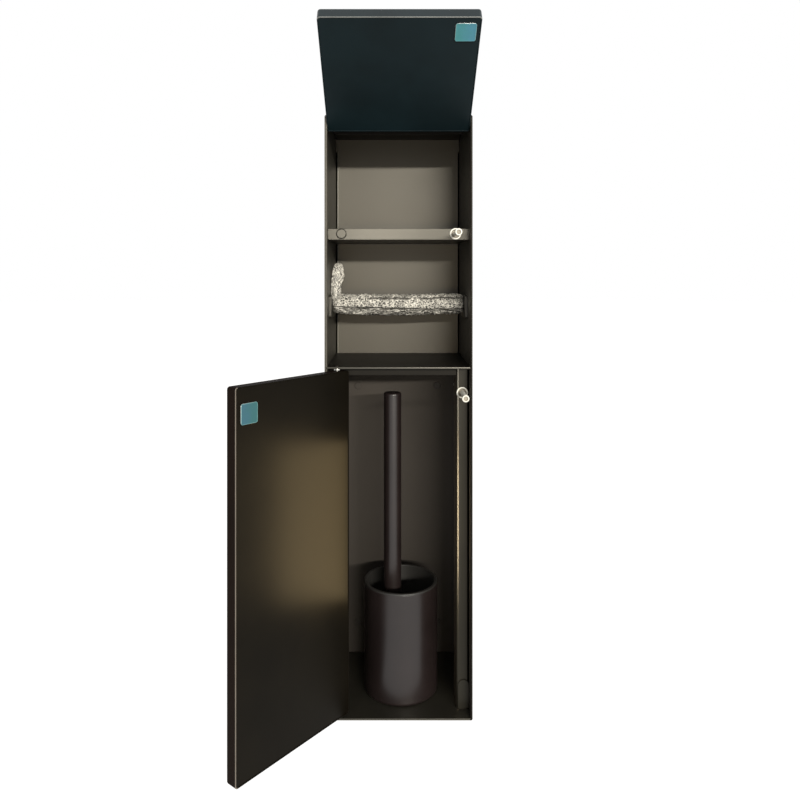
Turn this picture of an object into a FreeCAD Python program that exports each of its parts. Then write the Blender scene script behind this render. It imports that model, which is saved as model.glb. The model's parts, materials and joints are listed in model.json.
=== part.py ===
import FreeCAD, Part
import math
import os

os.makedirs("parts", exist_ok=True)

# Tall case for a wall recess. Origin: middle of the underside. +X is the viewer's
# right, +Y runs into the wall and +Z is up. Depths are counted from the front plane.
# The two leaves stand open, and their push latches are out.

# Case
case_width = 160.0
case_height = 654.0
case_depth = 140.0
sheet = 2.0
top_clear = 130.5
niche_clear = 138.0
fixing_hole_radius = 2.5
fixing_spacing_x = 100.0
fixing_spacing_z = 300.0
fixing_centre_z = 190.0

# Small clearances shared by many pieces
seat_gap = 0.3
running_clearance = 0.06
overrun = 1.0

# Leaves: closed pans with a flat inner panel
leaf_thick = 14.0
leaf_skin = 1.2
leaf_edge_radius = 2.5
leaf_corner_radius = 3.0
panel_thick = 1.0
panel_recess = 0.5

# Hinge pins, bushes and washers
pin_radius = 2.0
pin_reach = 10.0
pin_head_radius = 3.2
pin_head_height = 1.8
dome_share = 0.8
bush_radius = 3.5
bush_length = 12.0
washer_radius = 4.6

# Door, hung at the left on upright pins
door_hinge_inset = 11.0
door_hinge_depth = 5.0
door_hinge_gap = 1.2
door_free_gap = 0.7
door_top_gap = 2.2
door_bottom_gap = 2.6
door_stop_clearance = 0.3

# Flap, hung at the top on level pins
flap_pin_drop = 7.0
flap_top_gap = 0.5
flap_side_gap = 0.6
flap_overhang = 9.6
flap_open_deg = 125.9
flap_turn_clearance = 0.45

# Folded sheet behind the leaves
stop_gap = 3.0
lip_height = 12.5
top_lip_height = 17.7
top_lip_inset = 7.0
fold_sheet = 1.5
fold_radius = 2.5
post_width = 14.1
post_return = 30.0
rail_height = 9.0
rail_depth = 12.0
rail_start_inset = 20.0
tab_width = 12.0
tab_height = 31.0
tab_lift = 2.0
tab_thick = 1.5

# Push latches
latch_body_radius = 4.6
latch_collar_radius = 6.3
latch_collar_thick = 1.2
latch_seat_gap = 0.4
latch_inset = 15.0
latch_drop = 26.0
latch_wall = 1.2
latch_nose_length = 8.5
latch_end_wall = 1.5
latch_tip_radius = 3.8
latch_tip_length = 5.0
latch_tip_gap = 0.2
latch_rod_radius = 2.5
latch_flange_thick = 1.5
latch_travel = 37.5
spring_turns = 9
spring_wire_radius = 0.4
spring_packed_length = 12.0
plug_radius = 5.8
plug_head = 1.2
plug_stem_radius = 4.4
plug_stem_length = 7.0
plug_wall = 1.2
plug_edge_radius = 0.6

# Strikers on the leaves, under a peel-off film
striker_size = 20.0
striker_thick = 1.0
striker_corner = 2.5
striker_inset = 16.0
film_thick = 0.3

# Paper roll rod and its slotted brackets
rod_radius = 7.0
rod_wall = 1.0
rod_axis_depth = 60.0
rod_axis_lift = 65.5
rod_end_gap = 0.4
spigot_radius = 5.0
spigot_flat = 3.9
spigot_length = 2.4
cap_socket_length = 12.0
bracket_thick = 2.5
bracket_depth = 52.0
bracket_height = 26.0
bracket_rise = 11.0
bracket_corner = 3.0
slot_clearance = 0.3

# Packing film wound on the rod, with its end standing up
wrap_half_height = 12.6
wrap_half_depth = 12.0
wrap_sections = 7
wrap_swell_share = 0.07
wrap_end_share = 0.86
wrap_square_share = 0.74
tail_half_width = 6.2
tail_half_thick = 4.5
tail_rise = 47.0
tail_lean = 3.0
tail_inset = 0.8
tail_square_share = 0.8

# Brush pot
pot_radius = 42.5
pot_height = 125.0
pot_wall = 1.5
pot_base_radius = 3.0
liner_wall = 2.0
pot_axis_x = 3.0
pot_axis_depth = 62.0

# Brush
brush_head_room = 35.2
brush_side_gap = 1.0
handle_radius = 10.2
handle_wall = 1.2
handle_start = 108.0
handle_cap_height = 4.0
handle_cap_plug = 12.0
stem_radius = 5.0
core_radius = 7.5
core_height = 88.0
core_base_radius = 14.0
core_base_height = 5.0
bristle_radius = 28.5
bristle_root_radius = 22.0
bristle_height = 72.0
bristle_rings = 7

# Places that follow from the sizes above
inner_half = case_width / 2 - sheet
inner_depth = case_depth - sheet
shelf_top = case_height - sheet - top_clear
shelf_bottom = shelf_top - sheet
divider_top = shelf_bottom - niche_clear
divider_bottom = divider_top - sheet
lower_clear = divider_bottom - sheet
stop_depth = leaf_thick + stop_gap
panel_face = leaf_thick - panel_recess
striker_face = panel_face + striker_thick
film_face = striker_face + film_thick
tip_in_depth = film_face + seat_gap
tip_out_depth = tip_in_depth - latch_travel

door_left = -inner_half + door_hinge_gap
door_right = inner_half - door_free_gap
door_bottom = sheet + door_bottom_gap
door_top = divider_bottom - door_top_gap
door_pin_x = -inner_half + door_hinge_inset
# The open door stops where its outer face comes to the front edge of the side wall
door_stop_arm = math.hypot(door_hinge_inset, door_hinge_depth)
door_stop_turn = math.asin((door_hinge_depth + door_stop_clearance) / door_stop_arm)
door_open_deg = 180 - math.degrees(door_stop_turn + math.atan2(door_hinge_depth, door_hinge_inset))

flap_half = inner_half - flap_side_gap
flap_bottom = shelf_bottom - flap_overhang
flap_top = case_height - flap_top_gap
flap_pin_z = case_height - flap_pin_drop
flap_pin_depth = leaf_thick / 2
flap_sweep = math.hypot(flap_top - flap_pin_z, leaf_thick - flap_pin_depth)
top_fold_depth = flap_pin_depth + flap_sweep + flap_turn_clearance

post_left = inner_half - post_width
shelf_latch_x = inner_half - latch_inset
shelf_latch_z = shelf_top + latch_seat_gap + latch_body_radius
door_latch_x = post_left + fold_sheet + latch_seat_gap + latch_body_radius
door_latch_z = door_top - latch_drop
door_striker_x = door_right - striker_inset

latch_front = stop_depth - latch_collar_thick
latch_bore_radius = latch_body_radius - latch_wall
latch_recess_end = tip_in_depth + latch_tip_length + latch_tip_gap
latch_nose_end = latch_front + latch_nose_length
flange_rest = latch_nose_end + seat_gap
spring_start = flange_rest + latch_flange_thick
spring_end = spring_start + latch_travel + spring_packed_length
latch_rear = spring_end + latch_end_wall

rod_axis_z = divider_top + rod_axis_lift
bracket_face = inner_half - bracket_thick
rod_half = bracket_face - rod_end_gap

pot_bottom = sheet + seat_gap
liner_floor = pot_bottom + pot_wall + liner_wall
brush_bottom = liner_floor + seat_gap
brush_top = divider_bottom - brush_head_room
# The brush stands at the left side of its pot
brush_axis_x = pot_axis_x - (pot_radius - pot_wall - liner_wall - bristle_radius - brush_side_gap)

RIGHT = FreeCAD.Vector(1, 0, 0)
BACK = FreeCAD.Vector(0, 1, 0)
UP = FreeCAD.Vector(0, 0, 1)
parallel_share = 0.999
parts = {}


def at(x, depth, z):
    """A point given by its depth behind the front plane."""
    return FreeCAD.Vector(x, depth - case_depth / 2, z)


def block(x0, x1, depth0, depth1, z0, z1):
    """A box between two corners."""
    return Part.makeBox(x1 - x0, depth1 - depth0, z1 - z0, at(x0, depth0, z0))


def bar(start, direction, length, radius):
    """A round bar from a point."""
    return Part.makeCylinder(radius, length, start, direction)


def ring(start, direction, length, outer, inner):
    """A round sleeve or washer from a point."""
    return bar(start, direction, length, outer).cut(bar(start, direction, length, inner))


def turned(base, direction, outline):
    """Revolve an outline of (radius, along) points. Four numbers are an arc: its middle and its end."""
    side = UP if abs(direction.dot(UP)) < 1 else RIGHT

    def place(radius, along):
        return base + side * radius + direction * along

    edges = []
    last = outline[0]
    for step in outline[1:] + outline[:1]:
        end = step[-2:]
        if len(step) == 4:
            edges.append(Part.Arc(place(*last[-2:]), place(*step[:2]), place(*end)).toShape())
        elif place(*last[-2:]).distanceToPoint(place(*end)) > 0:
            edges.append(Part.LineSegment(place(*last[-2:]), place(*end)).toShape())
        last = step
    return Part.Face(Part.Wire(edges)).revolve(base, direction, 360)


def round_arc(centre_radius, centre_along, radius, start_deg, end_deg):
    """The middle and end of a round corner, as turned() takes them."""
    middle = math.radians((start_deg + end_deg) / 2)
    end = math.radians(end_deg)
    return (centre_radius + radius * math.cos(middle), centre_along + radius * math.sin(middle),
            centre_radius + radius * math.cos(end), centre_along + radius * math.sin(end))


def folded_angle(corner, way_a, leg_a, way_b, leg_b, run):
    """An angle strip of folded sheet: two legs from an outer corner, with a round bend."""
    inner = fold_radius - fold_sheet
    half_turn_share = math.sqrt(0.5)

    def place(a, b):
        return corner + way_a * a + way_b * b

    def bend(radius):
        return place(fold_radius - radius * half_turn_share, fold_radius - radius * half_turn_share)

    edges = [
        Part.LineSegment(place(fold_radius, 0), place(leg_a, 0)),
        Part.LineSegment(place(leg_a, 0), place(leg_a, fold_sheet)),
        Part.LineSegment(place(leg_a, fold_sheet), place(fold_radius, fold_sheet)),
        Part.Arc(place(fold_radius, fold_sheet), bend(inner), place(fold_sheet, fold_radius)),
        Part.LineSegment(place(fold_sheet, fold_radius), place(fold_sheet, leg_b)),
        Part.LineSegment(place(fold_sheet, leg_b), place(0, leg_b)),
        Part.LineSegment(place(0, leg_b), place(0, fold_radius)),
        Part.Arc(place(0, fold_radius), bend(fold_radius), place(fold_radius, 0)),
    ]
    return Part.Face(Part.Wire([edge.toShape() for edge in edges])).extrude(run)


def edges_along(shape, direction):
    """The straight edges that run along a direction."""
    found = []
    for edge in shape.Edges:
        if not isinstance(edge.Curve, Part.Line):
            continue
        if abs(edge.tangentAt(edge.FirstParameter).dot(direction)) > parallel_share:
            found.append(edge)
    return found


def edges_at_depth(shape, depth):
    """The edges that lie at one depth behind the front plane."""
    level = at(0, depth, 0).y
    return [edge for edge in shape.Edges
            if max(abs(edge.BoundBox.YMax - level), abs(edge.BoundBox.YMin - level)) < running_clearance]


def make_top_plate():
    """Top plate with a lip folded down behind the flap and cut back at both ends."""
    lip_end = inner_half - top_lip_inset
    bend_end = top_fold_depth + fold_radius
    lip = folded_angle(at(-lip_end, top_fold_depth, case_height), BACK, inner_depth - top_fold_depth,
                       -UP, top_lip_height, RIGHT * (lip_end * 2))
    deck = block(-inner_half, inner_half, bend_end, inner_depth, case_height - sheet, case_height)
    return lip.fuse(deck).removeSplitter()


def make_case():
    """Side walls, top, floor and back, each a flat plate."""
    for name, side in (("left_wall", -1), ("right_wall", 1)):
        x0, x1 = sorted((side * inner_half, side * case_width / 2))
        wall = block(x0, x1, 0, case_depth, 0, case_height)
        hole = bar(at(side * inner_half, flap_pin_depth, flap_pin_z), RIGHT * side, sheet, pin_radius)
        parts[name] = wall.cut(hole)
    parts["top_plate"] = make_top_plate()
    floor = block(-inner_half, inner_half, 0, inner_depth, 0, sheet)
    parts["bottom_plate"] = floor.cut(bar(at(door_pin_x, door_hinge_depth, 0), UP, sheet, pin_radius))
    back = block(-inner_half, inner_half, inner_depth, case_depth, 0, case_height)
    for side in (-1, 1):
        for end in (-1, 1):
            hole_z = fixing_centre_z + end * fixing_spacing_z / 2
            back = back.cut(bar(at(side * fixing_spacing_x / 2, inner_depth, hole_z), BACK, sheet,
                                fixing_hole_radius))
    parts["back_plate"] = back


def make_inner_sheets():
    """Shelf with its lip, niche floor, stop rail, latch post and its foot tab."""
    run = RIGHT * (inner_half * 2)
    shelf = folded_angle(at(-inner_half, stop_depth, shelf_bottom), BACK, inner_depth - stop_depth,
                         UP, lip_height, run)
    deck = block(-inner_half, inner_half, stop_depth + fold_radius, inner_depth,
                 shelf_bottom + fold_sheet / 2, shelf_top)
    shelf = shelf.fuse(deck).removeSplitter()
    for x, radius in ((shelf_latch_x, latch_body_radius), (-shelf_latch_x, plug_stem_radius)):
        shelf = shelf.cut(bar(at(x, stop_depth, shelf_latch_z), BACK, fold_sheet, radius))
    parts["shelf"] = shelf

    divider = block(-inner_half, inner_half, 0, inner_depth, divider_bottom, divider_top)
    parts["niche_floor"] = divider.cut(bar(at(door_pin_x, door_hinge_depth, divider_bottom), UP, sheet,
                                           pin_radius))
    rail_left = -inner_half + rail_start_inset
    parts["door_stop_rail"] = folded_angle(at(rail_left, stop_depth, divider_bottom), BACK, rail_depth,
                                           -UP, rail_height, RIGHT * (post_left - rail_left))
    post = folded_angle(at(post_left, stop_depth, sheet), RIGHT, post_width, BACK, post_return,
                        UP * lower_clear)
    hole = bar(at(door_latch_x, stop_depth, door_latch_z), BACK, fold_radius, latch_body_radius)
    parts["latch_post"] = post.cut(hole)

    tab_right = inner_half - seat_gap
    tab_left = tab_right - tab_width
    tab_foot = sheet + tab_lift
    tab_radius = tab_width / 2
    tab_shoulder = tab_foot + tab_height - tab_radius
    tab_front = stop_depth - tab_thick
    body = block(tab_left, tab_right, tab_front, stop_depth, tab_foot, tab_shoulder)
    head = bar(at(tab_left + tab_radius, tab_front, tab_shoulder), BACK, tab_thick, tab_radius)
    parts["door_stop_tab"] = body.fuse(head).removeSplitter()


def make_pan(x0, x1, z0, z1):
    """An open pan: a skin with folded edges, rounded corners and a rounded front edge."""
    pan = block(x0, x1, 0, leaf_thick, z0, z1)
    pan = pan.makeFillet(leaf_corner_radius, edges_along(pan, BACK))
    pan = pan.makeFillet(leaf_edge_radius, edges_at_depth(pan, 0))
    hollow = block(x0 + leaf_skin, x1 - leaf_skin, leaf_skin, leaf_thick + overrun,
                   z0 + leaf_skin, z1 - leaf_skin)
    hollow = hollow.makeFillet(leaf_corner_radius - leaf_skin, edges_along(hollow, BACK))
    hollow = hollow.makeFillet(leaf_edge_radius - leaf_skin, edges_at_depth(hollow, leaf_skin))
    return pan.cut(hollow)


def make_panel(x0, x1, z0, z1):
    """The flat inner panel that closes a pan."""
    panel = block(x0 + leaf_skin, x1 - leaf_skin, panel_face - panel_thick, panel_face,
                  z0 + leaf_skin, z1 - leaf_skin)
    return panel.makeFillet(leaf_corner_radius - leaf_skin, edges_along(panel, BACK))


def make_square(x, z, depth, thick):
    """A thin square with rounded corners, centred on a latch."""
    half = striker_size / 2
    square = block(x - half, x + half, depth, depth + thick, z - half, z + half)
    return square.makeFillet(striker_corner, edges_along(square, BACK))


def make_door():
    """The door's pieces, made shut and then turned to the open place."""
    edges = (door_left, door_right, door_bottom, door_top)
    top_seat = at(door_pin_x, door_hinge_depth, door_top)
    bottom_seat = at(door_pin_x, door_hinge_depth, door_bottom)
    pan = make_pan(*edges)
    bushes = []
    for seat, inwards in ((top_seat, -UP), (bottom_seat, UP)):
        pan = pan.cut(bar(seat, inwards, bush_length, bush_radius))
        bushes.append(ring(seat, inwards, bush_length, bush_radius, pin_radius + running_clearance))
    shut = {
        "door_pan": pan,
        "door_inner_panel": make_panel(*edges),
        "door_hinge_bushes": Part.makeCompound(bushes),
        "door_striker": make_square(door_striker_x, door_latch_z, panel_face, striker_thick),
        "door_striker_film": make_square(door_striker_x, door_latch_z, striker_face, film_thick),
    }
    for name, piece in shut.items():
        piece.rotate(bottom_seat, UP, -door_open_deg)
        parts[name] = piece

    dome_radius = pin_head_height * dome_share
    parts["door_top_pin"] = turned(at(door_pin_x, door_hinge_depth, divider_top), UP, [
        (0, door_top - pin_reach - divider_top),
        (pin_radius, door_top - pin_reach - divider_top),
        (pin_radius, 0),
        (pin_head_radius, 0),
        (pin_head_radius, pin_head_height - dome_radius),
        round_arc(pin_head_radius - dome_radius, pin_head_height - dome_radius, dome_radius, 0, 90),
        (0, pin_head_height),
    ])
    parts["door_bottom_pin"] = bar(at(door_pin_x, door_hinge_depth, 0), UP,
                                   sheet + door_bottom_gap + pin_reach, pin_radius)
    parts["door_top_washer"] = ring(top_seat + UP * seat_gap, UP, door_top_gap - seat_gap,
                                    washer_radius, pin_radius)
    parts["door_bottom_washer"] = ring(at(door_pin_x, door_hinge_depth, sheet), UP,
                                       door_bottom_gap - seat_gap, washer_radius, pin_radius)


def make_flap():
    """The flap's pieces, made shut and then turned to the open place."""
    edges = (-flap_half, flap_half, flap_bottom, flap_top)
    pan = make_pan(*edges)
    bushes, pins, washers = [], [], []
    for side in (-1, 1):
        seat = at(side * flap_half, flap_pin_depth, flap_pin_z)
        wall_face = at(side * inner_half, flap_pin_depth, flap_pin_z)
        pan = pan.cut(bar(seat, RIGHT * -side, bush_length, bush_radius))
        bushes.append(ring(seat, RIGHT * -side, bush_length, bush_radius, pin_radius + running_clearance))
        pins.append(bar(wall_face + RIGHT * (side * sheet), RIGHT * -side,
                        sheet + flap_side_gap + pin_reach, pin_radius))
        washers.append(ring(wall_face, RIGHT * -side, flap_side_gap - seat_gap, washer_radius, pin_radius))
    shut = {
        "flap_pan": pan,
        "flap_inner_panel": make_panel(*edges),
        "flap_hinge_bushes": Part.makeCompound(bushes),
        "flap_striker": make_square(shelf_latch_x, shelf_latch_z, panel_face, striker_thick),
        "flap_striker_film": make_square(shelf_latch_x, shelf_latch_z, striker_face, film_thick),
    }
    for name, piece in shut.items():
        piece.rotate(at(0, flap_pin_depth, flap_pin_z), RIGHT, -flap_open_deg)
        parts[name] = piece
    parts["flap_hinge_pins"] = Part.makeCompound(pins)
    parts["flap_hinge_washers"] = Part.makeCompound(washers)


def biarc(start, start_way, end, end_way):
    """Two arcs that join two points and leave and arrive along the given ways."""
    span = end - start
    ways = start_way + end_way
    spread = 2 * (1 - start_way.dot(end_way))
    reach = (math.sqrt(span.dot(ways) ** 2 + spread * span.dot(span)) - span.dot(ways)) / spread
    first = start + start_way * reach
    second = end - end_way * reach
    middle = (first + second) / 2
    arcs = []
    for near, knee, far in ((start, first, middle), (middle, second, end)):
        weight = math.cos((knee - near).getAngle(far - knee) / 2)
        crown = (near + knee * (2 * weight) + far) / (2 + 2 * weight)
        arcs.append(Part.Arc(near, crown, far).toShape())
    return arcs


def make_spring(x, z):
    """A compression spring at its long length, round an axis that runs back."""
    coil_radius = latch_bore_radius - spring_wire_radius - seat_gap
    length = spring_end - spring_start - 2 * (spring_wire_radius + running_clearance)
    pitch = length / spring_turns
    steps_per_turn = 4

    def point(turn):
        angle = 2 * math.pi * turn
        return at(x + coil_radius * math.cos(angle), spring_start + spring_wire_radius + running_clearance
                  + pitch * turn, z + coil_radius * math.sin(angle))

    def way(turn):
        angle = 2 * math.pi * turn
        rise = pitch / (2 * math.pi * coil_radius)
        heading = FreeCAD.Vector(-math.sin(angle), rise, math.cos(angle))
        return heading / heading.Length

    edges = []
    for step in range(spring_turns * steps_per_turn):
        start, end = step / steps_per_turn, (step + 1) / steps_per_turn
        edges.extend(biarc(point(start), way(start), point(end), way(end)))
    path = Part.Wire(edges)
    section = Part.Wire(Part.makeCircle(spring_wire_radius, point(0), way(0)))
    spring = path.makePipeShell([section], True, True)
    print("spring least gap", round(pitch - 2 * spring_wire_radius, 2),
          "volume share", round(spring.Volume / (math.pi * spring_wire_radius ** 2 * path.Length), 3))
    return spring


def make_latch(name, x, z):
    """A long-stroke push latch: collared body, plunger, soft tip and spring."""
    rod_bore = latch_rod_radius + running_clearance
    recess_radius = latch_tip_radius + latch_tip_gap
    front = at(x, 0, z)
    parts[name + "_body"] = turned(front, BACK, [
        (recess_radius, latch_front),
        (latch_collar_radius, latch_front),
        (latch_collar_radius, stop_depth),
        (latch_body_radius, stop_depth),
        (latch_body_radius, latch_rear),
        (0, latch_rear),
        (0, spring_end),
        (latch_bore_radius, spring_end),
        (latch_bore_radius, latch_nose_end),
        (rod_bore, latch_nose_end),
        (rod_bore, latch_recess_end),
        (recess_radius, latch_recess_end),
    ])
    flange_radius = latch_bore_radius - running_clearance
    parts[name + "_plunger"] = turned(front, BACK, [
        (0, tip_out_depth + latch_tip_length),
        (latch_rod_radius, tip_out_depth + latch_tip_length),
        (latch_rod_radius, flange_rest),
        (flange_radius, flange_rest),
        (flange_radius, spring_start),
        (0, spring_start),
    ])
    edge = latch_tip_gap * 2
    dish_radius = latch_rod_radius
    parts[name + "_tip"] = turned(front, BACK, [
        (0, tip_out_depth + edge),
        (dish_radius, tip_out_depth + edge),
        (dish_radius, tip_out_depth),
        (latch_tip_radius - edge, tip_out_depth),
        round_arc(latch_tip_radius - edge, tip_out_depth + edge, edge, -90, 0),
        (latch_tip_radius, tip_out_depth + latch_tip_length),
        (0, tip_out_depth + latch_tip_length),
    ])
    parts[name + "_spring"] = make_spring(x, z)


def make_plug():
    """The blind plug in the lip's spare hole: a low round head and a hollow stem."""
    face = stop_depth - plug_head
    parts["lip_plug"] = turned(at(-shelf_latch_x, 0, shelf_latch_z), BACK, [
        (0, face),
        (plug_radius - plug_edge_radius, face),
        round_arc(plug_radius - plug_edge_radius, face + plug_edge_radius, plug_edge_radius, -90, 0),
        (plug_radius, stop_depth),
        (plug_stem_radius, stop_depth),
        (plug_stem_radius, stop_depth + plug_stem_length),
        (plug_stem_radius - plug_wall, stop_depth + plug_stem_length),
        (plug_stem_radius - plug_wall, stop_depth),
        (0, stop_depth),
    ])


def make_roll_holder():
    """Two slotted brackets on the side walls, and the rod that drops into them."""
    front = rod_axis_depth - bracket_depth / 2
    bracket_top = rod_axis_z + bracket_rise
    slot_half = spigot_flat + slot_clearance
    slot_bottom = rod_axis_z - spigot_radius - seat_gap
    for name, side in (("left_roll_bracket", -1), ("right_roll_bracket", 1)):
        x0, x1 = sorted((side * bracket_face, side * inner_half))
        plate = block(x0, x1, front, front + bracket_depth, bracket_top - bracket_height, bracket_top)
        plate = plate.makeFillet(bracket_corner, edges_along(plate, RIGHT))
        slot = block(x0, x1, rod_axis_depth - slot_half, rod_axis_depth + slot_half, slot_bottom,
                     bracket_top + overrun)
        parts[name] = plate.cut(slot)

    parts["roll_rod"] = ring(at(-rod_half, rod_axis_depth, rod_axis_z), RIGHT, 2 * rod_half, rod_radius,
                             rod_radius - rod_wall)
    for name, side in (("left_rod_cap", -1), ("right_rod_cap", 1)):
        end = at(side * rod_half, rod_axis_depth, rod_axis_z)
        socket = bar(end, RIGHT * -side, cap_socket_length, rod_radius - rod_wall)
        spigot = bar(end, RIGHT * side, spigot_length, spigot_radius)
        x0, x1 = sorted((side * rod_half, side * (rod_half + spigot_length)))
        flats = block(x0, x1, rod_axis_depth - spigot_flat, rod_axis_depth + spigot_flat,
                      rod_axis_z - spigot_radius, rod_axis_z + spigot_radius)
        parts[name] = socket.fuse(spigot.common(flats))


def soft_loop(centre, way_a, half_a, way_b, half_b, square_share):
    """A closed loop of four arcs, rounder or squarer as its share says."""
    corners = [way_a * half_a, way_b * half_b, way_a * -half_a, way_b * -half_b]
    arcs = []
    for index, corner in enumerate(corners):
        following = corners[(index + 1) % len(corners)]
        arcs.append(Part.Arc(centre + corner, centre + (corner + following) * square_share,
                             centre + following).toShape())
    return Part.Wire(arcs)


def make_wrap():
    """Bubble film round the rod, with its loose end standing up at the left."""
    wrap_half = rod_half
    loops = []
    for index in range(wrap_sections):
        share = index / (wrap_sections - 1)
        swell = 1 + wrap_swell_share * math.sin(2 * math.pi * share * 2)
        if index in (0, wrap_sections - 1):
            swell = wrap_end_share
        loops.append(soft_loop(at(-wrap_half + 2 * wrap_half * share, rod_axis_depth, rod_axis_z), UP,
                               wrap_half_height * swell, BACK, wrap_half_depth * swell, wrap_square_share))
    sleeve = Part.makeLoft(loops, True, False)
    tail_x = -wrap_half + tail_inset + tail_half_width
    levels = []
    for share in (0, 0.3, 0.7, 1):
        centre = at(tail_x, rod_axis_depth - tail_lean * share, rod_axis_z + tail_rise * share)
        levels.append(soft_loop(centre, RIGHT, tail_half_width, BACK, tail_half_thick, tail_square_share))
    tail = Part.makeLoft(levels, True, False)
    core = bar(at(-wrap_half, rod_axis_depth, rod_axis_z), RIGHT, 2 * wrap_half, rod_radius)
    parts["bubble_wrap"] = sleeve.fuse(tail).cut(core)


def make_pot():
    """A round steel sleeve with a closed foot, and the plastic liner that hangs in it."""
    foot = at(pot_axis_x, pot_axis_depth, pot_bottom)
    inner = pot_radius - pot_wall
    rim = pot_height - liner_wall
    parts["pot_shell"] = turned(foot, UP, [
        (0, 0),
        (pot_radius - pot_base_radius, 0),
        round_arc(pot_radius - pot_base_radius, pot_base_radius, pot_base_radius, -90, 0),
        (pot_radius, rim),
        (inner, rim),
        (inner, pot_wall),
        (0, pot_wall),
    ])
    lip = liner_wall / 2
    parts["pot_liner"] = turned(foot, UP, [
        (0, pot_wall),
        (inner, pot_wall),
        (inner, rim),
        (pot_radius, rim),
        (pot_radius, pot_height - lip),
        round_arc(pot_radius - lip, pot_height - lip, lip, 0, 90),
        (inner - liner_wall, pot_height),
        (inner - liner_wall, pot_wall + liner_wall),
        (0, pot_wall + liner_wall),
    ])


def make_brush():
    """Handle tube and cap, stem, head core and its rings of bristles."""
    foot = at(brush_axis_x, pot_axis_depth, 0)
    cap_start = brush_top - handle_cap_height
    tube_inner = handle_radius - handle_wall
    parts["brush_handle"] = turned(foot, UP, [
        (stem_radius, handle_start),
        (handle_radius, handle_start),
        (handle_radius, cap_start),
        (tube_inner, cap_start),
        (tube_inner, handle_start + handle_wall),
        (stem_radius, handle_start + handle_wall),
    ])
    edge = handle_cap_height / 2
    parts["brush_handle_cap"] = turned(foot, UP, [
        (0, cap_start - handle_cap_plug),
        (tube_inner, cap_start - handle_cap_plug),
        (tube_inner, cap_start),
        (handle_radius, cap_start),
        (handle_radius, brush_top - edge),
        round_arc(handle_radius - edge, brush_top - edge, edge, 0, 90),
        (0, brush_top),
    ])
    core_top = brush_bottom + core_height
    parts["brush_stem"] = bar(foot + UP * core_top, UP, cap_start - handle_cap_plug - core_top, stem_radius)
    parts["brush_core"] = turned(foot, UP, [
        (0, brush_bottom),
        (core_base_radius, brush_bottom),
        (core_base_radius, brush_bottom + core_base_height),
        (core_radius, brush_bottom + core_base_height),
        (core_radius, core_top),
        (0, core_top),
    ])
    start = brush_bottom + core_base_height
    pitch = bristle_height / bristle_rings
    outline = [(core_radius, start), (bristle_root_radius, start)]
    for index in range(bristle_rings):
        outline.append((bristle_radius, start + pitch * (index + 0.5)))
        outline.append((bristle_root_radius, start + pitch * (index + 1)))
    outline.append((core_radius, start + bristle_height))
    parts["brush_bristles"] = turned(foot, UP, outline)


make_case()
make_inner_sheets()
make_door()
make_flap()
make_latch("shelf_latch", shelf_latch_x, shelf_latch_z)
make_latch("door_latch", door_latch_x, door_latch_z)
make_plug()
make_roll_holder()
make_wrap()
make_pot()
make_brush()

for name, shape in parts.items():
    print(name, len(shape.Solids), shape.isValid(), round(shape.Volume, 1))
    shape.exportStep("parts/" + name + ".step")
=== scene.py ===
"""Looks of the recessed toilet paper and brush cabinet: its finishes, its surfaces and its stage.

Lengths are metres. X is the viewer's right, Y runs into the wall and Z is up.
"""

import json
import math

import bmesh
import bpy
import numpy as np
from bpy.props import FloatProperty, FloatVectorProperty, IntProperty, PointerProperty
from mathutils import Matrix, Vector


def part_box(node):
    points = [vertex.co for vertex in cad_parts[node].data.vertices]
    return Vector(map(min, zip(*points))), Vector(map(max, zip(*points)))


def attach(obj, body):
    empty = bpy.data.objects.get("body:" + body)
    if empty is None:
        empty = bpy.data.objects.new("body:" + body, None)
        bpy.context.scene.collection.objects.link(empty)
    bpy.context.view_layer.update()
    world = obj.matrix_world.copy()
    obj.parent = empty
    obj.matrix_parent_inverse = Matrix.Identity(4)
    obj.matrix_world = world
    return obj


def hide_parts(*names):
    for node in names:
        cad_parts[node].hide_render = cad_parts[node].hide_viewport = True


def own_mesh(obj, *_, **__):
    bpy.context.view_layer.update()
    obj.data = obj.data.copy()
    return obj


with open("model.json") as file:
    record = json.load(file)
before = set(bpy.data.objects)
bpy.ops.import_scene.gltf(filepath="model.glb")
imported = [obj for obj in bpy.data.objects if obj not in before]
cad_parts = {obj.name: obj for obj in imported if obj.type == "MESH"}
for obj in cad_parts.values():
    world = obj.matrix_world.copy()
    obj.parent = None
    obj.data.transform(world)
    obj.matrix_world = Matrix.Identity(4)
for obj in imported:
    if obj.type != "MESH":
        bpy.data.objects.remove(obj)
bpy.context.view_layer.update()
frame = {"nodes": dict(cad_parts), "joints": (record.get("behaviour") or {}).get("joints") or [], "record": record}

bl_info = {
    "name": "Recessed paper and brush cabinet",
    "version": (1, 0, 0),
    "blender": (4, 5, 0),
    "location": "View3D > Sidebar > Cabinet",
    "description": "Dresses a recessed steel cabinet with its leaves, latches, paper roll rod and brush",
    "category": "Object",
}

MM = 0.001
X, Y, Z = range(3)
RIGHT, INTO_WALL, UP = np.eye(3)
WHITE = (1.0, 1.0, 1.0)

SHELF_SHEET = 2 * MM
COLLAR_THICK = 1.2 * MM

# The photograph's view, solved from points measured in it
VIEW_PLACE = (-0.006753, -0.850412, 0.484697)
VIEW_SHIFT = (0.00964, -0.16039)


# Shader values

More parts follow.
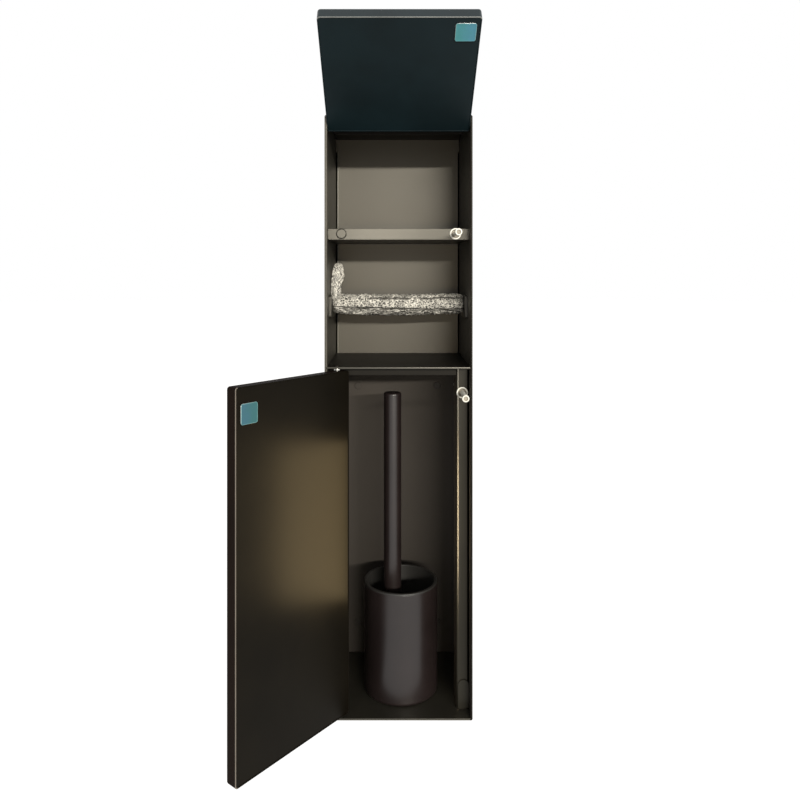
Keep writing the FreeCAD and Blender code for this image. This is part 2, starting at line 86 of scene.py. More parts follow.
class Value:
    """One output of a shader node. Python's operators on it add Math nodes."""

    def __init__(self, nodes, socket):
        self.nodes = nodes
        self.socket = socket

    def maths(self, operation, *values):
        return self.nodes.node("ShaderNodeMath", {"operation": operation}, dict(enumerate(values)))

    def __add__(self, other):
        return self.maths("ADD", self, other)

    def __sub__(self, other):
        return self.maths("SUBTRACT", self, other)

    def __rsub__(self, other):
        return self.maths("SUBTRACT", other, self)

    def __mul__(self, other):
        return self.maths("MULTIPLY", self, other)

    def __abs__(self):
        return self.maths("ABSOLUTE", self)

    __radd__ = __add__
    __rmul__ = __mul__

    def or_larger(self, other):
        return self.maths("MAXIMUM", self, other)

    def smooth(self, low, high):
        """Zero below low, one above high, and an S-shaped rise between them."""
        return self.nodes.node("ShaderNodeMapRange", {"interpolation_type": "SMOOTHSTEP"},
                               {"Value": self, "From Min": low, "From Max": high})


class Nodes:
    """The nodes of a material or of the world."""

    def __init__(self, tree):
        self.tree = tree

    def node(self, kind, settings=None, inputs=None, output=0):
        """Adds one node: its settings first, then the values or links of its sockets."""
        node = self.tree.nodes.new(kind)
        for key, setting in (settings or {}).items():
            setattr(node, key, setting)
        for key, value in (inputs or {}).items():
            if isinstance(value, Value):
                self.tree.links.new(value.socket, node.inputs[key])
            else:
                node.inputs[key].default_value = value
        return Value(self, node.outputs[output])

    def swap_when_seen(self, plain, bright, ending):
        """Ends the nodes with bright for camera, glossy and transmission rays, and plain for others."""
        camera, glossy, through = (self.node("ShaderNodeLightPath", output=kind) for kind in (
            "Is Camera Ray", "Is Glossy Ray", "Is Transmission Ray"))
        seen = camera.or_larger(glossy).or_larger(through)
        mixed = self.node("ShaderNodeMixShader", None, {0: seen, 1: plain, 2: bright})
        self.tree.links.new(mixed.socket, self.tree.nodes[ending].inputs["Surface"])


class Finish(Nodes):
    """A material with one Principled shader, and the nodes that vary it."""

    def __init__(self, name, slot, **constants):
        self.slot = slot
        self.material = bpy.data.materials.new(name)
        self.material.use_nodes = True
        super().__init__(self.material.node_tree)
        self.shader = self.tree.nodes["Principled BSDF"]
        for socket, value in constants.items():
            self.shader.inputs[socket.replace("_", " ")].default_value = value

    def place(self):
        return self.node("ShaderNodeTexCoord", output="Object")

    def attribute(self, name):
        """A number that the mesh carries at each point."""
        return self.node("ShaderNodeAttribute", {"attribute_name": name}, output="Fac")

    def noise(self, size, detail=2.0, roughness=0.5, stretch=None):
        """Soft noise whose features are about as large as size."""
        place = self.place()
        if stretch is not None:
            place = self.node("ShaderNodeVectorMath", {"operation": "MULTIPLY"}, {0: place, 1: stretch})
        return self.node("ShaderNodeTexNoise", None, {
            "Vector": place, "Scale": 1 / size, "Detail": detail, "Roughness": roughness})

    def blend(self, share, low, high):
        """A colour between two colours, by share. Each is three numbers or a value."""
        low, high = (end if isinstance(end, Value) else (*end, 1) for end in (low, high))
        return self.node("ShaderNodeMix", {"data_type": "RGBA"}, {0: share, 6: low, 7: high}, output=2)

    def feed(self, colour, roughness, height=None, depth=0.0, strength=1.0):
        """Feeds the shader its colour, its roughness and a bump of height in shares of depth."""
        feeds = {"Base Color": colour, "Roughness": roughness}
        if height is not None:
            feeds["Normal"] = self.node("ShaderNodeBump", None, {
                "Height": height, "Distance": depth, "Strength": strength})
        for socket, value in feeds.items():
            self.tree.links.new(value.socket, self.shader.inputs[socket])
        return self


def toned(colour, share):
    """A colour made darker or lighter."""
    return tuple(share * part for part in colour)


def coat_finish(name, slot, colour, shine, rough, tint=WHITE, below=None, grain=0.7 * MM):
    """Powder coat: an even dark colour with a fine orange peel and cloudy gloss.

    below is a height, the colour under it and how much rougher the coat is there.
    """
    finish = Finish(name, slot, Specular_IOR_Level=shine, Specular_Tint=(*tint, 1.0))
    clouds = finish.noise(60 * MM, 3.0)
    peel = finish.noise(grain)
    sheet = finish.blend(clouds.smooth(0.3, 0.7), toned(colour, 0.82), toned(colour, 1.18))
    roughness = rough + (clouds - 0.5) * 0.05 + (peel - 0.5) * 0.05
    if below:
        height, low_colour, rougher = below
        level = finish.node("ShaderNodeSeparateXYZ", None, {0: finish.place()}, output=Z)
        above = level.smooth(height - MM, height + MM)
        sheet = finish.blend(above, low_colour, sheet)
        roughness = roughness + (1 - above) * rougher
    return finish.feed(sheet, roughness, peel, 0.012 * MM, 0.5)


def plastic_finish(name, slot, colour, rough):
    """Moulded plastic: a fine even grain with a slow change of tone."""
    finish = Finish(name, slot)
    tone = finish.noise(12 * MM).smooth(0.3, 0.7)
    grains = finish.noise(0.5 * MM)
    sheet = finish.blend(tone, toned(colour, 0.9), colour)
    return finish.feed(sheet, rough + (grains - 0.5) * 0.1, grains, 0.01 * MM, 0.4)


def steel_finish(name, slot, colour, rough, stretch):
    """Bare steel with fine lines along the way that stretch draws the noise out."""
    finish = Finish(name, slot, Metallic=1.0)
    lines = finish.noise(0.3 * MM, 3.0, 0.6, stretch)
    sheet = finish.blend(lines, toned(colour, 0.8), colour)
    return finish.feed(sheet, rough + (lines - 0.5) * 0.2, lines, 0.01 * MM, 0.5)


def peel_film_finish(name, slot, colour, cooler, rim_colour, share):
    """Protective film over a striker: it turns cooler across, and its lifted rim is pale.

    share darkens the sheet: the door's film is a darker copy of the flap's, painted shade.
    """
    finish = Finish(name, slot, Specular_IOR_Level=0.4)
    clouds = finish.noise(9 * MM, 1.0)
    ripple = finish.noise(4 * MM, 1.0)
    across = (finish.attribute("across") + (clouds - 0.5) * 0.8).smooth(0.1, 0.9)
    rim = finish.attribute("rim")
    sheet = finish.blend(across, toned(colour, share), toned(cooler, share))
    return finish.feed(finish.blend(rim, sheet, rim_colour), 0.3 + (ripple - 0.5) * 0.1 + rim * 0.4,
                       ripple, 0.05 * MM, 0.3)


def bubble_film_finish(name, slot, light, dark, stretch):
    """Crumpled packing film: a net of milky creases over grey where the film is thin.

    A crease runs where soft noise crosses its middle: 1 - |2 n - 1|, at two sizes. stretch draws the
    net out along the way that the film is gathered.
    """
    finish = Finish(name, slot, Specular_IOR_Level=0.5)
    wide, fine = ((1 - abs(finish.noise(size, 2.0, 0.55, stretch) * 2 - 1)).smooth(start, 0.985)
                  for size, start in ((3.6 * MM, 0.865), (1.8 * MM, 0.855)))
    cloud = finish.noise(11 * MM).smooth(0.3, 0.7)
    net = wide.or_larger(fine * 0.85)
    # The lit number darkens the net with the sleeve's painted shade and painted shadow.
    share = net * (0.7 + cloud * 0.6) * finish.attribute("lit")
    return finish.feed(finish.blend(share, dark, light), 0.32 - net * 0.14, wide + fine * 0.5,
                       0.6 * MM, 0.8)


def bristle_finish(name, slot, colour):
    """Nylon bristle: dull black with a thin sheen along its length."""
    finish = Finish(name, slot, Sheen_Weight=0.2)
    strands = finish.noise(0.6 * MM, stretch=(1.0, 1.0, 3.0))
    return finish.feed(finish.blend(strands, colour, toned(colour, 1.6)), 0.5 + (strands - 0.5) * 0.3)


# Outlines: a corner is (a, b), or (a, b, radius) where an arc rounds it

def softened(outline, closed=False, steps=4, support=0.25):
    """An outline through its corners, with an arc round each corner that has a radius.

    An arc touches both sides at radius / tan(half the inside angle) from its corner, and turns about a
    centre on the line that halves the angle. A point just outside each end of an arc keeps the flat
    stretch beside it flat when the normals are smoothed.
    """
    places = np.array([corner[:2] for corner in outline], float)
    points = []
    for index, here in enumerate(places):
        bend = outline[index][2:]
        at_end = not closed and index in (0, len(places) - 1)
        if at_end or not bend:
            points.append(here)
            continue
        radius = bend[0]
        back = places[index - 1] - here
        ahead = places[(index + 1) % len(places)] - here
        back /= np.linalg.norm(back)
        ahead /= np.linalg.norm(ahead)
        half = math.acos(np.clip(back @ ahead, -1, 1)) / 2
        touch = radius / math.tan(half)
        middle = (back + ahead) / np.linalg.norm(back + ahead)
        centre = here + middle * radius / math.sin(half)
        start = here + back * touch - centre
        finish = here + ahead * touch - centre
        sweep = math.pi - 2 * half
        shares = np.linspace(0, 1, steps + 1)[:, None]
        arc = (np.sin((1 - shares) * sweep) * start + np.sin(shares * sweep) * finish) / math.sin(sweep)
        points.append(here + back * (touch + support * radius))
        points.extend(centre + arc)
        points.append(here + ahead * (touch + support * radius))
    return np.array(points)


def rounded_rectangle(low, high, radius, steps=5):
    """A rectangle with quarter-circle corners, and the outward way at each of its points.

    Each point is its corner's centre plus radius times the way, which turns from 0 to 360 degrees.
    """
    quarter = np.linspace(0, np.pi / 2, steps + 1)
    angles = (np.arange(4)[:, None] * np.pi / 2 + quarter).ravel()
    ways = np.stack([np.cos(angles), np.sin(angles)], axis=1)
    signs = np.array([(1, 1), (-1, 1), (-1, -1), (1, -1)], float).repeat(steps + 1, axis=0)
    middle = (low + high) / 2
    half = (high - low) / 2 - radius
    return middle + signs * half + ways * radius, ways


# Surfaces: each is (points, faces)

def ring_grid(rings, closed=False):
    """Quads between rings of points. Each ring meets itself. The two ends get a face, or meet too."""
    rings = np.asarray(rings, float)
    count, around = rings.shape[:2]
    index = np.arange(count * around).reshape(count, around)
    near = index if closed else index[:-1]
    far = np.roll(index, -1, axis=0) if closed else index[1:]
    quads = np.stack([near, np.roll(near, -1, 1), np.roll(far, -1, 1), far], axis=-1).reshape(-1, 4)
    faces = quads.tolist()
    if not closed:
        faces += [index[0][::-1].tolist(), index[-1].tolist()]
    return rings.reshape(-1, 3), faces


def joined(surfaces):
    """Several surfaces as one."""
    points, faces, start = [], [], 0
    for some_points, some_faces in surfaces:
        points.append(some_points)
        faces += [[corner + start for corner in face] for face in some_faces]
        start += len(some_points)
    return np.concatenate(points), faces


def stacked(outlines, levels, along):
    """Outlines in the two axes other than along, each at its level, as rings of one surface."""
    outlines = np.broadcast_to(outlines, (len(levels), *outlines.shape[-2:]))
    return ring_grid(np.insert(outlines, along, np.reshape(levels, (-1, 1)), axis=-1))


def carried(low, high, across, corner, profile, steps):
    """A profile of (inset, level) points carried round a rounded rectangle, thin along across."""
    outline, ways = rounded_rectangle(np.delete(low, across), np.delete(high, across), corner, steps)
    return stacked(outline - ways * profile[:, :1, None], profile[:, 1], across)


def slab(low, high, across, corner=0.8 * MM, edge=0.35 * MM):
    """A plate between two corners of space, thin along the axis across, with every edge rounded.

    The rounded outline is drawn in by edge * (1 - sin t) at height edge * (1 - cos t) from each face.
    """
    turn = np.linspace(0, np.pi / 2, 4)
    inset = np.concatenate([[1.5 * edge], edge * (1 - np.sin(turn))])
    rise = np.concatenate([[0.0], edge * (1 - np.cos(turn))])
    insets = np.concatenate([inset, inset[::-1]])
    levels = np.concatenate([low[across] + rise, high[across] - rise[::-1]])
    return carried(low, high, across, max(corner, 1.6 * edge), np.stack([insets, levels], axis=1), 5)


def turned(centre, axis, outline, closed=False, around=48):
    """A softened profile of (radius, along) turned round: centre + axis * along + radius * way."""
    profile = softened(outline, closed)
    side = UP if abs(axis @ UP) < 0.5 else RIGHT
    other = np.cross(axis, side)
    angles = np.linspace(0, 2 * np.pi, around, endpoint=False)
    ways = np.cos(angles)[:, None] * side + np.sin(angles)[:, None] * other
    return ring_grid(centre + axis * profile[:, 1:, None] + ways * profile[:, :1, None], closed)


def extruded(outline, along, start, end):
    """A closed outline, in the two axes other than along, carried from start to end."""
    return stacked(outline, (start, end), along)


def folded(outline, along, low, high, **softening):
    """A folded sheet: a closed outline with soft corners, carried from the low to the high corner."""
    return extruded(softened(outline, closed=True, **softening), along, low[along], high[along])


def angle_section(front, rear, foot, top, thick, bend):
    """The outline of a sheet with a leg down at the front, bent from a leg that runs to the rear."""
    return [(front, top, bend), (rear, top), (rear, top - thick),
            (front + thick, top - thick, bend - thick), (front + thick, foot), (front, foot)]


def half_round(start, across, rise):
    """A half circle, squashed to a rise: its places across, from start on, and its heights."""
    turn = np.linspace(0, np.pi, 9)
    return start + across * (0.5 - 0.5 * np.cos(turn)), rise * np.sin(turn)


def faces_within(surface, kept):
    """Which faces have all of their points among the kept ones."""
    return np.array([kept[face].all() for face in surface[1]])


# Places

def corners(node):
    """The lowest and highest corners of a node, as arrays."""
    low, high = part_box(node)
    return np.array(low), np.array(high)


def middle_of(node, flattened=None):
    """The middle of a node's box, at zero on the flattened axis."""
    low, high = corners(node)
    middle = (low + high) / 2
    if flattened is not None:
        middle[flattened] = 0
    return middle


def span(node, axis):
    """Where a node starts and ends along one axis."""
    low, high = corners(node)
    return low[axis], high[axis]


def radius_of(node, axis=X):
    """Half of a node's size along one axis."""
    start, end = span(node, axis)
    return (end - start) / 2


def named(rows, name):
    """The joint or mount of that name."""
    return next(row for row in rows if row["name"] == name)


class Hinge:
    """A leaf's hinge: it turns points between the shut place and the open place of the frame."""

    def __init__(self, name):
        joint = named(frame["joints"], name)
        self.pivot = np.array(joint["pos_m"])
        self.axis = np.array(joint["axis"], float)
        self.angle = math.radians(joint["range_deg"][1])

    def turn(self, points, angle):
        """Rodrigues' turn: v cos a + (k x v) sin a + k (k . v)(1 - cos a)."""
        arms = points - self.pivot
        along = (arms @ self.axis)[..., None] * self.axis
        turned_arms = arms * math.cos(angle) + np.cross(self.axis, arms) * math.sin(angle)
        return self.pivot + turned_arms + along * (1 - math.cos(angle))

    def opened(self, surface):
        """A surface turned from the shut place to the open one."""
        return self.turn(surface[0], -self.angle), surface[1]

    def shut_corners(self, node):
        """The lowest and highest corners of a node turned back to the shut place."""
        mesh = frame["nodes"][node].data
        points = np.empty(len(mesh.vertices) * 3, np.float32)
        mesh.vertices.foreach_get("co", points)
        points = self.turn(points.reshape(-1, 3).astype(float), self.angle)
        return points.min(axis=0), points.max(axis=0)


# Pieces

def added(name, data):
    """A new object in the scene."""
    made = bpy.data.objects.new(name, data)
    bpy.context.scene.collection.objects.link(made)
    return made


def piece(name, surface, finish, node=None, body="case", bevel=0.0, sharp_deg=50.0, numbers=None,
          others=()):
    """Makes one object from a surface, facing outwards, with its finish, its body and its node.

    numbers are arrays that the mesh carries at its points. others are pairs of a further finish and
    which faces have it.
    """
    points, faces = surface
    mesh = bpy.data.meshes.new(name)
    mesh.from_pydata(np.asarray(points).tolist(), [], faces)
    shell = bmesh.new()
    shell.from_mesh(mesh)
    if shell.calc_volume(signed=True) < 0:
        bmesh.ops.reverse_faces(shell, faces=shell.faces)
    shell.to_mesh(mesh)
    shell.free()
    mesh.shade_smooth()
    mesh.set_sharp_from_angle(angle=math.radians(sharp_deg))
    main_finish = CabinetFinishes.get(finish)
    mesh.materials.append(main_finish.material)
    for label, values in (numbers or {}).items():
        mesh.attributes.new(label, "FLOAT", "POINT").data.foreach_set("value", values.astype(np.float32))
    slots = np.zeros(len(faces), np.int32)
    for number, (other, chosen) in enumerate(others, 1):
        mesh.materials.append(CabinetFinishes.get(other).material)
        slots[chosen] = number
    mesh.polygons.foreach_set("material_index", slots)
    made = added(name, mesh)
    if bevel:
        rounding = made.modifiers.new("edges", "BEVEL")
        rounding.width = bevel
        rounding.segments = 3
        rounding.limit_method = "ANGLE"
        rounding.angle_limit = math.radians(40)
        rounding.harden_normals = True
    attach(made, body)
    if node:
        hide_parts(node)
    return made


def dress(node, finish, hidden=None):
    """Gives a node that keeps its shape a better material. hidden is for its faces against the wall."""
    mesh = frame["nodes"][node].data
    mesh.materials.clear()
    mesh.materials.append(CabinetFinishes.get(finish).material)
    if hidden:
        mesh.materials.append(CabinetFinishes.get(hidden).material)
        for face in mesh.polygons:
            face.material_index = int(face.normal.y > 0.5)


def drill(made, node, face):
    """Cuts the round hole that a latch's body passes, from the face of a sheet into the wall."""
    radius, reach, pole = 4.6 * MM, 4 * MM, 0.02
    centre = middle_of(node)
    centre[Y] = face
    points, faces = turned(centre, INTO_WALL, [(pole * radius, -reach), (radius, -reach),
                                               (radius, reach), (pole * radius, reach)])
    mesh = bpy.data.meshes.new("drill")
    mesh.from_pydata(points.tolist(), [], faces)
    bit = added("drill", mesh)
    cut = made.modifiers.new("hole", "BOOLEAN")
    cut.object = bit
    cut.solver = "EXACT"
    seen = made.evaluated_get(bpy.context.evaluated_depsgraph_get())
    made.data = bpy.data.meshes.new_from_object(seen)
    made.modifiers.clear()
    bpy.data.objects.remove(bit)


class CabinetFinishes:
    """Makes each finish when it is first asked for."""

    made = {}

    @classmethod
    def get(cls, name):
        if name not in cls.made:
            maker, *values = cls.recipes()[name]
            cls.made[name] = maker(name, *values)
        return cls.made[name]

    @staticmethod
    def recipes():
        """For each finish: its maker, its slot, its colour and the maker's further values."""
        colour = bpy.context.scene.cabinet_colours
        gloss = bpy.context.scene.cabinet_gloss
        sheen = colour.coat_sheen
        low_back = (middle_of("niche_floor")[Z], colour.low_back, 0.3)
        striker_film = (colour.peel_film, colour.peel_film_cool, colour.peel_film_rim)
        packing_film = (colour.film_light, colour.film_dark)
        coat, plastic, film = "black_coat", "black_plastic", "clear_film"
        return {
            "case_coat": (coat_finish, coat, colour.case_coat, 0.75, gloss.case_coat, sheen),
            "back_coat": (coat_finish, coat, colour.case_coat, 0.75, gloss.case_coat, sheen, low_back),
            "lip_coat": (coat_finish, coat, colour.case_coat, 0.33, gloss.sheet_coat, sheen),
            "sheet_coat": (coat_finish, coat, colour.case_coat, 0.8, gloss.sheet_coat, sheen),
            "post_coat": (coat_finish, coat, colour.case_coat, 0.25, gloss.sheet_coat, sheen),
            # A darker, duller copy of the case coat: painted shade on the stop rail, the divider, the top, the
            # right wall's front edge and the door's top pin.
            "rail_coat": (coat_finish, coat, colour.rail_coat, 0.12, gloss.case_coat, sheen),
            # The flap's teal tint is a painted reflection, on both its pan and its inner panel.
            "flap_coat": (coat_finish, coat, colour.leaf_coat, 0.3, gloss.leaf_coat),
            "flap_panel": (coat_finish, coat, colour.leaf_coat, 0.12, gloss.leaf_coat),
            # A pale coat on the flap rim's free side: painted highlight.
            "flap_rim": (coat_finish, coat, colour.flap_rim, 0.5, gloss.painted_highlight_gloss),
            "door_coat": (coat_finish, coat, colour.door_coat, 0.03, gloss.door_pan),
            "door_panel": (coat_finish, coat, colour.door_panel, 0.06, gloss.door_coat, sheen),
            # A pale coat on the door rim's free side: painted highlight.
            "door_rim": (coat_finish, coat, colour.door_rim, 0.5, gloss.painted_highlight_gloss),
            # Pale coat of painted highlight on the beads by the left rear corners and the left front edge.
            "seam_bead": (coat_finish, coat, colour.seam_bead, 0.5, gloss.painted_highlight_gloss),
            # Near-black and without gloss: painted shade in the rear corners, beside the post and round the plug.
            "sealant": (coat_finish, plastic, colour.sealant, 0.0, 0.6),
            "pot_coat": (coat_finish, "matte_black_coat", colour.pot_coat, 0.5, gloss.pot_coat, WHITE,
                         None, 0.5 * MM),
            "black_plastic": (plastic_finish, plastic, colour.black_plastic, 0.45),
            "white_plastic": (plastic_finish, "white_plastic", colour.white_plastic, 0.35),
            # Darker grey-brown in the latches' recesses and dishes: painted shade.
            "tip_hollow": (plastic_finish, "white_plastic", colour.tip_hollow, 0.5),
            "turned_steel": (steel_finish, "bright_steel", (0.66, 0.65, 0.62), 0.25, (1.0, 1.0, 0.1)),
            "spring_steel": (steel_finish, "bright_steel", (0.6, 0.6, 0.58), 0.3, (1.0, 0.2, 1.0)),
            "striker_steel": (steel_finish, "striker_steel", (0.6, 0.6, 0.6), 0.35, (0.1, 1.0, 1.0)),
            "flap_film": (peel_film_finish, "teal_film", *striker_film, 1.0),
            # The door's film is the same film made darker: painted shade.
            "door_film": (peel_film_finish, "teal_film", *striker_film, 0.39),
            "bubble_film": (bubble_film_finish, film, *packing_film, (0.8, 1.0, 1.1)),
            "gathered_film": (bubble_film_finish, film, *packing_film, (1.5, 1.2, 0.45)),
            "streaked_film": (bubble_film_finish, film, *packing_film, (0.3, 1.2, 1.5)),
            "bristle": (bristle_finish, "black_bristle", (0.02, 0.02, 0.02)),
        }


def colour_property(name, description, default):
    return FloatVectorProperty(name=name, description=description, subtype="COLOR", size=3, min=0.0,
                               max=1.0, default=default)


def length_property(name, description, default):
    return FloatProperty(name=name, description=description, subtype="DISTANCE", unit="LENGTH",
                         default=default, min=0.0)


def gloss_property(name, default):
    return FloatProperty(name=name, description="Roughness of this coat", min=0.0, max=1.0,
                         default=default)


class CabinetColours(bpy.types.PropertyGroup):
    """Colours of the finishes."""

    case_coat: colour_property("Case coat", "Coat of the case and its inner sheets",
                               (0.0125, 0.0115, 0.0085))
    coat_sheen: colour_property("Coat sheen", "Tint of the case coat's gloss", (1.0, 0.95, 0.85))
    # Its teal tint is a painted reflection on the flap.
    leaf_coat: colour_property("Leaf coat", "Coat of the flap", (0.0055, 0.013, 0.0165))
    low_back: colour_property("Low back", "Coat of the back below the divider", (0.016, 0.012, 0.011))
    # Painted shade: a darker copy of the case coat for the rail, divider, top, right wall's front edge and top
    # pin.
    rail_coat: colour_property("Rail coat", "Coat of the rail, divider and top", (0.008, 0.007, 0.006))
    door_coat: colour_property("Door coat", "Coat of the door's pan", (0.009, 0.0055, 0.004))
    door_panel: colour_property("Door panel", "Coat of the door's inner panel", (0.005, 0.004, 0.0025))
    # Pale coat of painted highlight on the beads by the left rear corners and the left front edge.
    seam_bead: colour_property("Seam bead", "Folds and edges where the coat is thin", (0.2, 0.19, 0.16))
    # Near-black strip of painted shade in the rear corners, beside the post and round the plug.
    sealant: colour_property("Sealant", "Beads and joints that stay dark", (0.003, 0.003, 0.002))
    # Darker grey-brown in the latches' recesses and dishes: painted shade.
    tip_hollow: colour_property("Tip hollow", "Dish in the latches' tips", (0.34, 0.31, 0.26))
    # Pale coats on the free side of the leaves' rear rims: painted highlight.
    flap_rim: colour_property("Flap rim", "Worn coat on the flap's rear rim", (0.2, 0.21, 0.21))
    door_rim: colour_property("Door rim", "Worn coat on the door's rear rim", (0.14, 0.12, 0.1))
    pot_coat: colour_property("Pot coat", "Coat of the brush pot and handle", (0.013, 0.009, 0.009))
    black_plastic: colour_property("Black plastic", "Bushes, caps and liner", (0.02, 0.019, 0.018))
    white_plastic: colour_property("White plastic", "Latch bodies and tips", (0.86, 0.85, 0.8))
    peel_film: colour_property("Striker film", "Tinted film on the strikers", (0.07, 0.31, 0.35))
    peel_film_cool: colour_property("Striker film, cooler", "The film's bluer side", (0.083, 0.305, 0.43))
    peel_film_rim: colour_property("Striker film rim", "The film's lifted edge", (0.27, 0.52, 0.54))
    film_light: colour_property("Bubble film, milky", "Where its layers gather", (0.95, 0.92, 0.85))
    film_dark: colour_property("Bubble film, thin", "Where it is thin", (0.03, 0.027, 0.022))


class CabinetGloss(bpy.types.PropertyGroup):
    """Roughness of the coats."""

    case_coat: gloss_property("Case", 0.47)
    sheet_coat: gloss_property("Lip, brackets and post", 0.34)
    leaf_coat: gloss_property("Flap", 0.3)
    door_pan: gloss_property("Door pan", 0.6)
    door_coat: gloss_property("Door panel", 0.36)
    pot_coat: gloss_property("Pot and handle", 0.32)
    # Roughness of the pale coats of painted highlight on rims and beads.
    painted_highlight_gloss: gloss_property("Worn rims and seams", 0.3)


class CabinetSizes(bpy.types.PropertyGroup):
    """Sizes that the frame does not give."""

    plate_edge: length_property("Plate edge", "Rounding of the case's plate edges", 0.35 * MM)
    sheet_edge: length_property("Sheet edge", "Rounding of the inner sheets' edges", 0.25 * MM)
    foot_round: length_property("Case foot", "Rounding of the side walls' lower outer edge", 1.9 * MM)
    seam_width: length_property("Seam", "Width of the beads in the case's rear corners", 1.6 * MM)
    top_lip_inset: length_property("Top lip inset", "How far the top's lip is cut back at its ends",
                                   7.0 * MM)
    leaf_skin: length_property("Leaf skin", "Thickness of the leaves' sheet", 1.2 * MM)
    leaf_corner: length_property("Leaf corner", "Corner radius of the leaves", 3.0 * MM)
    leaf_edge: length_property("Leaf edge", "Rounding of the leaves' front edge", 2.5 * MM)
    rim_edge: length_property("Leaf rim", "Rounding of the leaves' rear rim", 0.4 * MM)
    fold_sheet: length_property("Folded sheet", "Thickness of the lip, rail and post", 1.5 * MM)
    fold_radius: length_property("Fold radius", "Outer radius of the rail's and the top's fold", 2.5 * MM)
    lip_radius: length_property("Lip radius", "Outer radius of the fold under the lip", 0.7 * MM)
    post_radius: length_property("Post radius", "Outer radius of the post's fold", 3.4 * MM)
    pin_radius: length_property("Hinge pin", "Radius of the hinge pins", 2.0 * MM)
    film_layer: length_property("Film layer", "Step where the bubble film's outer end lies", 2.0 * MM)
    bubble_relief: length_property("Bubble relief", "Height of the film's bubbles", 0.35 * MM)
    film_creases: length_property("Film creases", "Height of the film's creases", 0.9 * MM)


class StageSettings(bpy.types.PropertyGroup):
    """Light and camera."""

    key_power: FloatProperty(name="Key light", description="Power of the strip light in watts",
                             subtype="POWER", unit="POWER", default=500.0)
    key_colour: colour_property("Key tint", "Colour of the strip light", (1.0, 0.95, 0.84))
    ambient: FloatProperty(name="Ambient", description="Strength of the room's diffuse light",
                           default=0.48)
    ambient_colour: colour_property("Ambient tint", "Colour of the diffuse light", (1.0, 0.96, 0.86))
    lens: FloatProperty(name="Lens", description="Focal length in millimetres", default=32.524)
    seed: IntProperty(name="Seed", description="Seed of the film's creases", default=5)


# Case

